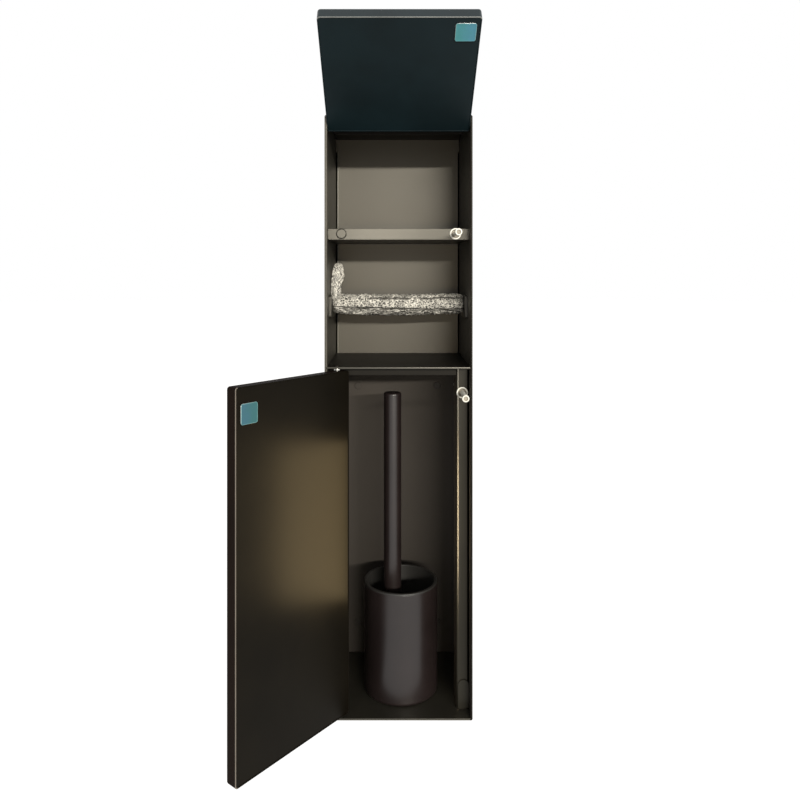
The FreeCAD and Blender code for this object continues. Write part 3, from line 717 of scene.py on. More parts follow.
class CABINET_OT_case_plates(bpy.types.Operator):
    """Side walls, top, floor and divider with rounded edges, the back, and the beads in its corners"""

    bl_idname = "cabinet.case_plates"
    bl_label = "Case plates"

    def execute(self, context):
        sizes = context.scene.cabinet_sizes
        edge = sizes.plate_edge
        piece("case_bottom_plate", slab(*corners("bottom_plate"), Z, edge=edge), "case_coat",
              "bottom_plate")
        low, high = corners("niche_floor")
        plate = slab(low, high, Z, edge=edge)
        # The divider's front edge takes the sheet coat; the rest is painted shade in the darker coat.
        front = faces_within(plate, plate[0][:, Y] < low[Y] + MM)
        piece("case_niche_floor", plate, "rail_coat", "niche_floor", others=[("sheet_coat", front)])
        for node, outer in (("left_wall", 0), ("right_wall", 1)):
            self.wall(node, outer, sizes)
        self.top(sizes)
        dress("back_plate", "back_coat", "case_coat")
        self.seams(sizes.seam_width)
        self.hole_plugs()
        return {"FINISHED"}

    def wall(self, node, outer, sizes):
        """A side wall, seen from the front as a strip whose outer corners are rounded."""
        low, high = corners(node)
        near, far = (low, high)[outer][X], (low, high)[1 - outer][X]
        surface = folded([(near, low[Z], sizes.foot_round), (near, high[Z], sizes.foot_round),
                          (far, high[Z]), (far, low[Z])], Y, low, high)
        # The right wall's front edge takes the darker coat: painted shade.
        cut_edge = faces_within(surface, (surface[0][:, Y] < low[Y] + MM) & (outer == 1))
        piece("case_" + node, surface, "case_coat", node, bevel=sizes.plate_edge,
              others=[("rail_coat", cut_edge)])

    def top(self, sizes):
        """The top's deck, and the lip folded down behind the flap and cut back at both ends."""
        low, high = corners("top_plate")
        deck_start = low[Y] + sizes.fold_radius
        deck_foot = high[Z] - span("bottom_plate", Z)[1]
        deck = slab(np.array((low[X], deck_start, deck_foot)), high, Z, edge=sizes.plate_edge)
        leg_end = deck_start + 2 * sizes.plate_edge
        section = angle_section(low[Y], leg_end, low[Z], high[Z], sizes.fold_sheet, sizes.fold_radius)
        inset = np.array((sizes.top_lip_inset, 0, 0))
        lip = folded(section, X, low + inset, high - inset)
        # The top and its lip take the darker coat: painted shade.
        piece("case_top_plate", joined([deck, lip]), "rail_coat", "top_plate", sharp_deg=40)

    def hole_plugs(self):
        """A flat domed cap in each screw hole of the back: its flange lies on the plate."""
        mount = named(frame["record"]["mounts"], "wall_screw_holes")
        spread_x, spread_z = (mount["dims"][key] * MM / 2 for key in ("spacing_x_mm", "spacing_y_mm"))
        hole = mount["dims"]["hole_r_mm"] * MM
        flange = 1.9 * hole
        face, rear = span("back_plate", Y)
        cap = [(0.2 * hole, face - 0.9 * MM), (flange, face - 0.9 * MM, 0.7 * MM), (flange, face),
               (0.94 * hole, face), (0.94 * hole, rear, 0.3 * MM), (0.2 * hole, rear)]
        places = [np.array(mount["pos_m"]) * (1, 0, 1) + (side * spread_x, 0, end * spread_z)
                  for side in (-1, 1) for end in (-1, 1)]
        piece("screw_hole_caps", joined([turned(place, INTO_WALL, cap, around=24) for place in places]),
              "back_coat")

    def seams(self, width):
        """Half-round beads along the case's corners, a third of their width high.

        A near-black strip of painted shade runs up both rear corners, and a pale bead of painted
        highlight lies beside the left one only. A pale bead of painted highlight runs along the inner
        side of the left wall's front edge.
        """
        back = span("back_plate", Y)[0]
        floor, divider, shelf, top = (span(node, Z) for node in (
            "bottom_plate", "niche_floor", "shelf", "top_plate"))
        levels = [(floor[1], divider[0]), (divider[1], shelf[0]), (shelf[0] + SHELF_SHEET, top[0])]
        # Near-black strips of painted shade in both rear corners; a pale bead of painted highlight beside the left
        # ones only.
        beads = (("rear_seam_", 0.0, width, "sealant"), ("rear_fold_", width, 1.0 * MM, "seam_bead"))
        for side, name, count in ((-1, "left", 2), (1, "right", 1)):
            wall = span(name + "_wall", X)[1 if side < 0 else 0]
            for label, start, across, finish in beads[:count]:
                places, heights = half_round(start, across, across / 3)
                outline = np.stack([wall - side * places, back - heights], axis=1)
                strips = [extruded(outline, Z, bottom, top) for bottom, top in levels]
                piece(label + name, joined(strips), finish, sharp_deg=40)
        # A pale bead of painted highlight along the inner side of the left wall's front edge.
        low, high = corners("left_wall")
        across, end_gap = 1.4 * MM, 2 * MM
        places, heights = half_round(low[Y] + 0.3 * MM, across, 0.45 * across)
        outline = np.stack([high[X] + heights, places], axis=1)
        piece("front_edge_left", extruded(outline, Z, low[Z] + end_gap, high[Z] - end_gap), "seam_bead",
              sharp_deg=40)


class CABINET_OT_inner_sheets(bpy.types.Operator):
    """Shelf with its lip, stop rail, latch post, foot tab and roll brackets"""

    bl_idname = "cabinet.inner_sheets"
    bl_label = "Inner sheets"

    def execute(self, context):
        sizes = context.scene.cabinet_sizes
        self.shelf(sizes)
        self.rail(sizes)
        self.post(sizes)
        self.tab(sizes)
        for side in ("left", "right"):
            self.bracket(side + "_roll_bracket", sizes)
        return {"FINISHED"}

    def shelf(self, sizes):
        """The deck with its lip turned up at the front, and the latch's hole through the lip."""
        low, high = corners("shelf")
        deck, inner = low[Z] + SHELF_SHEET, low[Y] + sizes.fold_sheet
        sheet = folded([(low[Y], low[Z], sizes.lip_radius), (high[Y], low[Z]), (high[Y], deck),
                        (inner, deck, 0.2 * MM), (inner, high[Z]), (low[Y], high[Z])], X, low, high)
        made = piece("shelf_sheet", sheet, "lip_coat", "shelf", bevel=sizes.sheet_edge)
        drill(made, "shelf_latch_body", low[Y])

    def rail(self, sizes):
        """An angle, with one leg down at the front."""
        low, high = corners("door_stop_rail")
        section = angle_section(low[Y], high[Y], low[Z], high[Z], sizes.fold_sheet, sizes.fold_radius)
        # The rail takes the darker coat: painted shade.
        piece("stop_rail_sheet", folded(section, X, low, high), "rail_coat", "door_stop_rail",
              bevel=sizes.sheet_edge)

    def post(self, sizes):
        """An upright angle with the latch's hole, and a near-black strip of painted shade where it meets the wall.
        """
        low, high = corners("latch_post")
        thick, bend = sizes.fold_sheet, sizes.post_radius
        joint = high[X] - 2.2 * MM
        sheet = folded([(low[X], low[Y], bend), (joint, low[Y]), (high[X], low[Y]),
                        (high[X], low[Y] + thick), (low[X] + thick, low[Y] + thick, bend - thick),
                        (low[X] + thick, high[Y]), (low[X], high[Y])], Z, low, high, steps=8)
        # The strip by the wall is painted shade in the gap.
        at_wall = faces_within(sheet, sheet[0][:, X] > joint - 0.1 * MM)
        made = piece("latch_post_sheet", sheet, "post_coat", "latch_post", bevel=sizes.sheet_edge,
                     others=[("sealant", at_wall)])
        drill(made, "door_latch_body", low[Y])

    def tab(self, sizes):
        """A small plate with an arched top."""
        low, high = corners("door_stop_tab")
        arch, foot = 0.98 * radius_of("door_stop_tab"), 0.4 * MM
        sheet = folded([(low[X], low[Z], foot), (high[X], low[Z], foot), (high[X], high[Z], arch),
                        (low[X], high[Z], arch)], Y, low, high, steps=10, support=0.01)
        piece("foot_tab", sheet, "post_coat", "door_stop_tab", bevel=sizes.sheet_edge)

    def bracket(self, node, sizes):
        """A plate with a slot that is open at the top, where the rod's end drops in."""
        low, high = corners(node)
        depth, height = middle_of("roll_rod")[1:]
        slot, foot, bend, mouth, seat = 4.2 * MM, height - 5.3 * MM, 3.0 * MM, 0.8 * MM, 0.6 * MM
        sheet = folded([
            (low[Y], low[Z], bend), (high[Y], low[Z], bend), (high[Y], high[Z], bend),
            (depth + slot, high[Z], mouth), (depth + slot, foot, seat), (depth - slot, foot, seat),
            (depth - slot, high[Z], mouth), (low[Y], high[Z], bend)], X, low, high, support=0.05)
        piece(node + "_plate", sheet, "sheet_coat", node, bevel=sizes.sheet_edge)


# Leaves

class CABINET_OT_leaves(bpy.types.Operator):
    """The flap and the door: a folded pan, its inner panel, and the striker under its film"""

    bl_idname = "cabinet.leaves"
    bl_label = "Leaves"

    def execute(self, context):
        for leaf in ("flap", "door"):
            self.leaf(context.scene.cabinet_sizes, leaf, Hinge(leaf + "_hinge"))
        return {"FINISHED"}

    def leaf(self, sizes, leaf, hinge):
        """Each piece is drawn in the shut place, where it lies square, and is then turned open.

        The pan's profile runs from inside its front sheet round the rim to the front. The rim's free
        side takes a pale coat: a painted highlight.
        """
        low, high = hinge.shut_corners(leaf + "_pan")
        skin, corner, edge, rim = sizes.leaf_skin, sizes.leaf_corner, sizes.leaf_edge, sizes.rim_edge
        front, rear, reach = low[Y], high[Y], corner - 0.2 * MM
        profile = softened([(reach, front + skin), (skin, front + skin, edge - skin), (skin, rear, rim),
                            (0, rear, rim), (0, front, edge), (reach, front)], support=0.1)
        shut = carried(low, high, Y, corner, profile, 8)
        x, y, z = shut[0].T
        free = z < low[Z] + corner if leaf == "flap" else x > high[X] - corner
        on_rim = y > rear - 1.5 * rim
        # The rim's free side takes a pale coat: painted highlight.
        piece(leaf + "_folded_pan", hinge.opened(shut), leaf + "_coat", leaf + "_pan", leaf,
              others=[(leaf + "_panel", faces_within(shut, on_rim)),
                      (leaf + "_rim", faces_within(shut, on_rim & free))])

        panel = slab(*hinge.shut_corners(leaf + "_inner_panel"), Y, corner - skin, 0.25 * MM)
        piece(leaf + "_rear_panel", hinge.opened(panel), leaf + "_panel", leaf + "_inner_panel", leaf)
        striker = slab(*hinge.shut_corners(leaf + "_striker"), Y, 2.5 * MM, 0.2 * MM)
        piece(leaf + "_striker_plate", hinge.opened(striker), "striker_steel", leaf + "_striker", leaf)
        film, rim_share, across = self.film(*hinge.shut_corners(leaf + "_striker_film"))
        piece(leaf + "_striker_film_sheet", hinge.opened(film), leaf + "_film",
              leaf + "_striker_film", leaf, numbers={"rim": rim_share, "across": across})

    def film(self, low, high):
        """Thin film with a wavy lifted rim, as rings from its rear face round its edge to its middle.

        Its outline bulges by a wave of 0.25 mm, and its height is the face plus slow waves.
        """
        outline, ways = rounded_rectangle(low[[X, Z]], high[[X, Z]], 2.2 * MM, 8)
        insets = np.array([6.0, 0.5, 0.1, 0.0, 0.1, 0.4, 0.8, 1.3, 2.0, 3.5, 5.5, 7.5]) * MM
        heights = np.array([0.0, 0.0, 0.0, 0.5, 1.0, 1.0, 0.9, 0.75, 0.7, 0.7, 0.7, 0.7])
        turn = np.linspace(0, 2 * np.pi, len(outline), endpoint=False)
        wave = 0.25 * MM * (np.sin(3 * turn + 0.6) + 0.6 * np.sin(7 * turn + 2.0)) / 1.6
        inset = insets[:, None] + np.abs(wave) * (insets[:, None] < 2.5 * MM)
        middle = outline.mean(axis=0)
        reach = 1 - insets / (high - low)[[X, Z]].min() * 2
        round_rings = middle + (outline - middle) * np.clip(reach, 0.05, 1)[:, None, None]
        near_edge = (insets < 1.5 * MM)[:, None, None]
        x, z = np.moveaxis(np.where(near_edge, outline - ways * inset[..., None], round_rings), -1, 0)
        waves = 0.12 * np.sin(x / (2.1 * MM)) * np.sin(z / (2.6 * MM))
        y = low[Y] + (high[Y] - low[Y]) * heights[:, None] * (1 + waves)
        rim = np.exp(-(insets / (0.38 * MM)) ** 2)[:, None] * (0.75 + 0.25 * np.sin(2 * turn + 1.0))
        across = (x - low[X]) / (high[X] - low[X])
        return ring_grid(np.stack([x, y, z], axis=-1)), rim.ravel(), across.ravel()


class CABINET_OT_hinges(bpy.types.Operator):
    """Hinge pins with domed heads, washers and bushes"""

    bl_idname = "cabinet.hinges"
    bl_label = "Hinges"

    def execute(self, context):
        radius = context.scene.cabinet_sizes.pin_radius
        self.door_pins(radius)
        self.flap_pins(radius)
        for node in ("door_top_washer", "door_bottom_washer"):
            ring = self.ring(middle_of(node, Z), UP, radius_of(node), *span(node, Z), 0.25 * MM)
            piece(node + "_ring", ring, "turned_steel", node)
        self.flap_washers()
        for node in ("flap_hinge_bushes", "door_hinge_bushes"):
            dress(node, "black_plastic")
        return {"FINISHED"}

    def door_pins(self, radius):
        """A pin with a domed head through the divider, and a plain one at the foot."""
        centre, head = middle_of("door_top_pin", Z), radius_of("door_top_pin")
        seat = span("niche_floor", Z)[1]
        foot, top = span("door_top_pin", Z)
        pin = [(0.6 * radius, foot), (radius, foot, 0.3 * MM), (radius, seat), (head, seat),
               (head, top, 1.4 * MM), (0.15 * head, top)]
        # The pin takes the darker coat: painted shade.
        piece("door_top_pin_turned", turned(centre, UP, pin), "rail_coat", "door_top_pin")
        foot, top = span("door_bottom_pin", Z)
        pin = [(0.5 * radius, foot), (radius, foot, 0.3 * MM), (radius, top, 0.4 * MM),
               (0.5 * radius, top)]
        piece("door_bottom_pin_turned", turned(centre, UP, pin), "turned_steel",
              "door_bottom_pin")

    def flap_pins(self, radius):
        """A plain pin through each side wall."""
        centre = middle_of("flap_hinge_pins", X)
        inner_end = span("right_wall", X)[0] - 10.6 * MM
        outer_end = span("flap_hinge_pins", X)[1] + 0.3 * MM
        pin = [(0.5 * radius, inner_end), (radius, inner_end, 0.4 * MM), (radius, outer_end, 0.3 * MM),
               (0.4 * radius, outer_end)]
        piece("flap_hinge_pins_turned", joined([turned(centre, RIGHT * side, pin) for side in (-1, 1)]),
              "turned_steel", "flap_hinge_pins")

    def flap_washers(self):
        """A thin ring inside each side wall."""
        node, thick = "flap_hinge_washers", 0.5 * MM
        outer_face = span(node, X)[1]
        rings = [self.ring(middle_of(node, X), RIGHT * side, radius_of(node, Z), outer_face - thick,
                           outer_face, 0.15 * MM) for side in (-1, 1)]
        piece("flap_hinge_washer_rings", joined(rings), "turned_steel", node)

    def ring(self, centre, axis, outer, start, end, bend):
        """A flat ring with rounded outer edges: a closed profile turned round the axis."""
        hole = 2.0 * MM
        return turned(centre, axis, [(hole, start), (outer, start, bend), (outer, end, bend),
                                     (hole, end)], closed=True)


# Latches

class CABINET_OT_latches(bpy.types.Operator):
    """Two long-stroke push latches: collared body, plunger, dished tip and spring, and the blind plug"""

    bl_idname = "cabinet.latches"
    bl_label = "Push latches"

    def execute(self, context):
        for latch, plunger in (("shelf_latch", "shelf_plunger"), ("door_latch", "door_plunger")):
            centre, rod = middle_of(latch + "_body", Y), 2.5 * MM
            self.body(latch, centre, rod)
            self.plunger(latch, centre, rod, plunger)
            self.spring(latch)
        self.plug()
        return {"FINISHED"}

    def body(self, latch, centre, rod):
        """The collared body, with a recess in its face and a bore for the plunger."""
        face, rear = span(latch + "_body", Y)
        seat, floor = face + COLLAR_THICK, face + 4.8 * MM
        collar = radius_of(latch + "_body")
        barrel, recess, bore = collar - 1.7 * MM, collar - 1.5 * MM, rod + 0.06 * MM
        body = turned(centre, INTO_WALL, [
            (bore, floor), (barrel - 0.6 * MM, floor), (recess, face, 0.3 * MM),
            (collar, face, 0.5 * MM), (collar, seat, 0.1 * MM), (barrel, seat),
            (barrel, rear, 0.6 * MM), (bore, rear)])
        # The recess in the face is painted darker grey-brown: painted shade.
        mouth = self.hollow(body, centre, recess + 0.05 * MM, face, floor + 0.1 * MM)
        piece(latch + "_collared_body", body, "white_plastic", latch + "_body",
              others=[("tip_hollow", mouth)])

    def plunger(self, latch, centre, rod, body):
        """The plunger's stem with its flange, and the soft tip with its dish."""
        front, rear = span(latch + "_plunger", Y)
        flange, step = radius_of(latch + "_plunger"), rear - 1.5 * MM
        stem = [(0.5 * rod, front), (rod, front), (rod, step, 0.2 * MM), (flange, step),
                (flange, rear), (0.5 * rod, rear)]
        piece(latch + "_plunger_stem", turned(centre, INTO_WALL, stem), "white_plastic",
              latch + "_plunger", body)
        tip = radius_of(latch + "_tip")
        front, rear = span(latch + "_tip", Y)
        dish_floor = front + 1.1 * MM
        cap = turned(centre, INTO_WALL, [
            (0.35 * rod, dish_floor), (0.75 * rod, dish_floor, 0.3 * MM),
            (rod, front, 0.3 * MM), (tip, front, 0.5 * MM), (tip, rear, 0.3 * MM), (0.5 * rod, rear)])
        # The dish is painted darker grey-brown: painted shade.
        dish = self.hollow(cap, centre, 1.02 * rod, front + 0.2 * MM, rear - 0.1 * MM)
        piece(latch + "_dished_tip", cap, "white_plastic", latch + "_tip", body,
              others=[("tip_hollow", dish)])

    def spring(self, latch):
        """The spring, dressed in spring steel, with its own copy of its mesh."""
        node, slide = latch + "_spring", latch + "_slide"
        dress(node, "spring_steel")
        front, rear = span(node, Y)
        middle = middle_of(node)
        travel = named(frame["joints"], slide)["range_m"][1]
        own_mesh(frame["nodes"][node], slide, axis=(0, 1, 0), anchor=(middle[X], rear, middle[Z]),
                  keep=1 - travel / (rear - front))

    def hollow(self, surface, centre, widest, start, end):
        """Which faces lie nearer the axis than widest, between two depths."""
        away = np.linalg.norm(surface[0][:, [X, Z]] - centre[[X, Z]], axis=1)
        depth = surface[0][:, Y]
        return faces_within(surface, (away < widest) & (depth > start) & (depth < end))

    def plug(self):
        """The blind plug's cap, and a near-black ring of painted shadow round it."""
        centre, head = middle_of("lip_plug", Y), radius_of("lip_plug")
        front, rear = span("lip_plug", Y)
        seat, ring_front = front + COLLAR_THICK, front + 0.6 * MM
        face, stem = head - 0.5 * MM, head - 1.4 * MM
        ring_inner, bore = face - 0.3 * MM, stem - 1.2 * MM
        # A near-black ring of painted shadow round the cap.
        ring = [(ring_inner, ring_front), (head, ring_front, 0.2 * MM), (head, seat),
                (ring_inner, seat)]
        piece("lip_plug_ring", turned(centre, INTO_WALL, ring, closed=True), "sealant")
        cap = [(0.3 * head, front), (face, front, 0.5 * MM), (face, seat, 0.1 * MM), (stem, seat),
               (stem, rear, 0.3 * MM), (bore, rear, 0.2 * MM), (bore, seat), (0.3 * head, seat)]
        piece("lip_plug_cap", turned(centre, INTO_WALL, cap), "lip_coat", "lip_plug")


# Paper roll rod and its film

def lattice_noise(u, v, cells_u, cells_v, rng):
    """Smooth random heights from 0 to 1 over u and v from 0 to 1. It repeats in v.

    Random values stand at the corners of a lattice, and t * t * (3 - 2 t) mixes them between.
    """
    table = rng.random((cells_u + 2, cells_v))
    place_u, place_v = u * cells_u, v * cells_v
    cell_u, cell_v = np.floor(place_u).astype(int), np.floor(place_v).astype(int)
    share_u, share_v = place_u - cell_u, place_v - cell_v
    share_u = share_u * share_u * (3 - 2 * share_u)
    share_v = share_v * share_v * (3 - 2 * share_v)
    near, far = cell_v % cells_v, (cell_v + 1) % cells_v
    first = table[cell_u, near] * (1 - share_v) + table[cell_u, far] * share_v
    second = table[cell_u + 1, near] * (1 - share_v) + table[cell_u + 1, far] * share_v
    return first * (1 - share_u) + second * share_u


def creases(u, v, cells_u, cells_v, rng):
    """Sharp ridges where smooth noise crosses its middle: 1 - |2 n - 1|, squared."""
    ridge = 1 - np.abs(2 * lattice_noise(u, v, cells_u, cells_v, rng) - 1)
    return ridge * ridge


def tube_grid(rows, around):
    """Shares along a tube and shares round it, as two grids."""
    return np.meshgrid(np.linspace(0, 1, rows), np.arange(around) / around, indexing="ij")


class CABINET_OT_roll_rod(bpy.types.Operator):
    """The rod and its end caps, and the bubble film wound on it with its end standing up"""

    bl_idname = "cabinet.roll_rod"
    bl_label = "Roll rod and film"

    def execute(self, context):
        for node in ("roll_rod", "left_rod_cap", "right_rod_cap"):
            dress(node, "black_plastic")
        rng = np.random.default_rng(context.scene.cabinet_stage.seed)
        sleeve, lit, lower = self.sleeve(context.scene.cabinet_sizes, rng)
        tail = self.tail(rng)
        film = joined([sleeve, tail])
        tail_lit = np.ones(len(tail[0]))
        tail_lower = np.zeros(len(tail[0]), bool)
        gathered = np.repeat((False, True), (len(sleeve[1]), len(tail[1])))
        streaked = faces_within(film, np.concatenate([lower, tail_lower]))
        piece("bubble_film_wrap", film, "bubble_film", "bubble_wrap", "roll_rod", sharp_deg=80,
              numbers={"lit": np.concatenate([lit, tail_lit])},
              others=[("gathered_film", gathered), ("streaked_film", streaked)])
        return {"FINISHED"}

    def sleeve(self, sizes, rng):
        """Film wound once and a bit: radius = base + spiral + bubbles + creases, and it sags.

        The angle is 0 at the front and 90 degrees at the top. The spiral drops by one layer at the
        film's outer end. At both ends the film draws in to the rod and turns inside. Returned with it
        are the painted shade at each point, and which points lie below its outer end.
        """
        low, high = corners("roll_rod")
        axis = (low + high) / 2
        start, end = low[X] + 0.2 * MM, high[X] - 0.2 * MM
        rows, around = 321, 200
        s, v = tube_grid(rows, around)
        angle = 2 * np.pi * v
        outer_end = math.radians(-12) - 0.16 * s + 0.04 * np.sin(5 * s) + 0.02 * np.sin(23 * s)
        round_share = ((angle - outer_end) / (2 * np.pi)) % 1
        spiral = sizes.film_layer * (1 - round_share) * np.clip(round_share / 0.012, 0, 1)
        bubbles_along, bubbles_around = 17, 8
        bubbles = np.sin(2 * np.pi * s * bubbles_along) * np.sin(2 * np.pi * (v * bubbles_around + 0.25))
        bubbles = sizes.bubble_relief * np.clip(bubbles * 1.8, -0.6, 1)
        folds = creases(s, v, 26, 9, rng) + 0.6 * creases(s, v, 44, 16, rng)
        folds = folds + 0.3 * creases(s, v, 84, 30, rng) - 0.6
        slow = lattice_noise(s, v, 7, 4, rng) - 0.5
        base, inner, end_share, pleats = 10.4 * MM, 7.3 * MM, 0.035, 11
        radius = base + spiral + bubbles + sizes.film_creases * folds + 1.2 * MM * slow
        near_end = np.clip(1 - np.minimum(s, 1 - s) / end_share, 0, 1)
        radius = radius * (1 - 0.2 * near_end ** 2) * (1 + 0.05 * np.sin(pleats * angle) * near_end)
        belly = np.sin(np.pi * s)
        sag = 1 + 0.1 * belly * (np.sin(angle) < 0)
        outside = np.stack([
            start + (end - start) * s + 0.4 * MM * slow,
            axis[Y] - radius * np.cos(angle),
            axis[Z] + radius * np.sin(angle) * sag - 0.9 * MM * belly], axis=-1)
        circle = np.stack([np.zeros(around), axis[Y] - inner * np.cos(angle[0]),
                           axis[Z] + inner * np.sin(angle[0])], axis=-1)
        inside = [circle + RIGHT * place for place in (end, (start + end) / 2, start)]
        lit = self.painted_shade_of_sleeve(s, v, round_share, rng)
        signed_angle = (angle + np.pi) % (2 * np.pi) - np.pi
        lower = (signed_angle < outer_end) & (signed_angle > math.radians(-120))
        unseen = np.zeros(len(inside) * around, bool)
        return (ring_grid(np.concatenate([outside, inside]), closed=True),
                np.concatenate([lit.ravel(), unseen]), np.concatenate([lower.ravel(), unseen]))

    def painted_shade_of_sleeve(self, s, v, round_share, rng):
        """Painted shade on the sleeve, from 1 in full light down to 0: a painted shadow just under its
        outer end, painted shade in gaps between the folds along its upper front, and painted shade over
        its lower side, broken by lighter streaks.
        """
        angle = 2 * np.pi * v
        # Painted shadow that the film's outer end casts just below it.
        under_edge = np.exp(-((1 - round_share) / 0.022) ** 2)
        # Painted shade in the gaps between folds along the upper front.
        gaps = np.exp(-((angle - math.radians(40)) / 0.15) ** 2)
        gaps = gaps * np.clip(3 * lattice_noise(s, v, 16, 6, rng) - 0.95, 0, 1)
        # The lower side is painted darker as shade, broken by lighter streaks.
        streaks = lattice_noise(s, v, 20, 70, rng)
        below = np.clip(-3 * np.sin(angle), 0, 1)
        lit = (1 - 0.95 * under_edge) * (1 - 0.92 * gaps) * (1 - below * (1.0 - 1.35 * streaks))
        return np.clip(lit, 0, 1)

    def tail(self, rng):
        """The film's other end, gathered and standing up at the left wall.

        Its section is a superellipse between a left and a right edge that lean with height, folded by
        waves that run up it, and it closes in a slanted crumpled top.
        """
        depth, base = middle_of("roll_rod")[1:]
        foot = base + 6 * MM
        top = span("bubble_wrap", Z)[1]
        height_shares = np.array([0.0, 0.35, 0.5, 0.65, 0.85, 1.0])
        left_edge = np.array([-76.8, -77.2, -77.2, -76.6, -75.0, -73.4]) * MM
        right_edge = np.array([-66.0, -66.2, -63.6, -62.8, -63.8, -65.8]) * MM
        rows, around = 90, 120
        share, v = tube_grid(rows, around)
        angle = 2 * np.pi * v
        left = np.interp(share, height_shares, left_edge)
        right = np.interp(share, height_shares, right_edge)
        close = np.sqrt(np.clip(1 - ((share - 0.93) / 0.07).clip(0, 1) ** 2, 0.02, 1))
        half = (right - left) / 2 * (0.84 + 0.16 * close)
        wide = np.sign(np.cos(angle)) * np.abs(np.cos(angle)) ** 0.7
        deep = np.sign(np.sin(angle)) * np.abs(np.sin(angle)) ** 0.8
        folds = creases(share, v, 5, 14, rng) + 0.5 * creases(share, v, 12, 18, rng) - 0.5
        x = (left + right) / 2 + half * wide * (1 + 0.1 * folds)
        lean = depth - 5 * MM + 2.4 * MM * (share - 0.5)
        y = lean + 3.6 * MM * close * deep * (1 + 0.28 * folds)
        z = foot + (top - foot) * share + 1.6 * MM * share * (x - left) / (right - left)
        return ring_grid(np.stack([x, y, z], axis=-1))


# Brush set

class CABINET_OT_brush_pot(bpy.types.Operator):
    """The round pot and the liner that hangs in it"""

    bl_idname = "cabinet.brush_pot"
    bl_label = "Brush pot"

    def execute(self, context):
        centre, radius = middle_of("pot_shell", Z), radius_of("pot_shell")
        wall, liner, around = 1.5 * MM, 2.0 * MM, 128
        pole, inner, soft = 0.5 * radius, radius - wall, 0.3 * MM
        foot, rim = span("pot_shell", Z)
        shell = [(pole, foot), (radius, foot, 3 * MM), (radius, rim, soft), (inner, rim, soft),
                 (inner, foot + wall), (pole, foot + wall)]
        piece("pot_sleeve", turned(centre, UP, shell, around=around), "pot_coat", "pot_shell",
              "brush_pot")
        bottom, top = span("pot_liner", Z)
        inside = inner - liner
        cup = [(pole, bottom), (inner, bottom), (inner, rim), (radius, rim), (radius, top, 1.0 * MM),
               (inside, top, 0.9 * MM), (inside, bottom + liner, 4 * MM), (pole, bottom + liner)]
        piece("pot_liner_cup", turned(centre, UP, cup, around=around), "black_plastic", "pot_liner",
              "brush_pot")
        return {"FINISHED"}


class CABINET_OT_brush(bpy.types.Operator):
    """The brush: tube handle with a domed cap, stem, core and tufts"""

    bl_idname = "cabinet.brush"
    bl_label = "Brush"

    def execute(self, context):
        centre = middle_of("brush_handle", Z)
        self.handle(centre, radius_of("brush_handle"), radius_of("brush_stem"))
        self.head(centre)
        return {"FINISHED"}

    def handle(self, centre, handle, stem):
        """The tube, its domed cap and the stem, each a profile turned round the brush's axis."""
        plug, soft, around = handle - 1.2 * MM, 0.15 * MM, 64
        foot, joint = span("brush_handle", Z)
        tube = [(stem, foot), (handle, foot, 1.2 * MM), (handle, joint, soft), (plug, joint)]
        piece("brush_handle_tube", turned(centre, UP, tube, around=around), "pot_coat",
              "brush_handle", "brush")
        foot, top = span("brush_handle_cap", Z)
        joint = joint + 0.01 * MM
        cap = [(0.5 * plug, foot), (plug, foot, 0.3 * MM), (plug, joint), (handle, joint, soft),
               (handle, top, 2 * MM), (0.3 * handle, top)]
        piece("brush_handle_dome", turned(centre, UP, cap, around=around), "pot_coat",
              "brush_handle_cap", "brush")
        foot, top = span("brush_stem", Z)
        rod = [(0.5 * stem, foot), (stem, foot), (stem, top), (0.5 * stem, top)]
        piece("brush_stem_rod", turned(centre, UP, rod), "black_plastic", "brush_stem", "brush")

    def head(self, centre):
        """The core, a tube on a round base, and the tufts in it."""
        foot, top = span("brush_core", Z)
        base, core, shoulder = radius_of("brush_core"), 7.5 * MM, foot + 5 * MM
        body = [(0.5 * core, foot), (base, foot, 1 * MM), (base, shoulder, 0.8 * MM),
                (core, shoulder), (core, top, 0.6 * MM), (0.5 * core, top)]
        piece("brush_core_body", turned(centre, UP, body), "black_plastic", "brush_core", "brush")
        piece("brush_tufts", self.tufts(centre, core), "bristle", "brush_bristles", "brush")

    def tufts(self, middle, core):
        """Tufts in staggered rows: each is a narrow cone from the core that splays a little."""
        rows, per_row, sides, seed = 13, 26, 6, 11
        root, reach = core - 1 * MM, radius_of("brush_bristles")
        bottom, top = np.array(span("brush_bristles", Z)) + (2 * MM, -2 * MM)
        rng = np.random.default_rng(seed)
        row, column = np.meshgrid(np.arange(rows), np.arange(per_row), indexing="ij")
        angle = ((column + 0.5 * (row % 2)) / per_row * 2 * np.pi + rng.normal(0, 0.02, row.shape)).ravel()
        level = (bottom + (top - bottom) * row / (rows - 1)).ravel()
        ways = np.stack([np.cos(angle), np.sin(angle), np.zeros_like(angle)], axis=1)
        across = np.cross(UP, ways)
        turn = np.linspace(0, 2 * np.pi, sides, endpoint=False)[:, None]
        tip_reach = reach * (1 - 0.08 * rng.random(len(angle)))
        rings = []
        for share, width in ((0.0, 0.9 * MM), (0.55, 1.3 * MM), (0.97, 2.0 * MM), (1.0, 1.2 * MM)):
            centre = middle + ways * (root + (tip_reach - root) * share)[:, None] + UP * level[:, None]
            ring = (across[:, None] * np.cos(turn) + UP * np.sin(turn)) * width
            rings.append(centre[:, None] + ring)
        return joined([ring_grid(tuft) for tuft in np.stack(rings, axis=1)])


# Stage

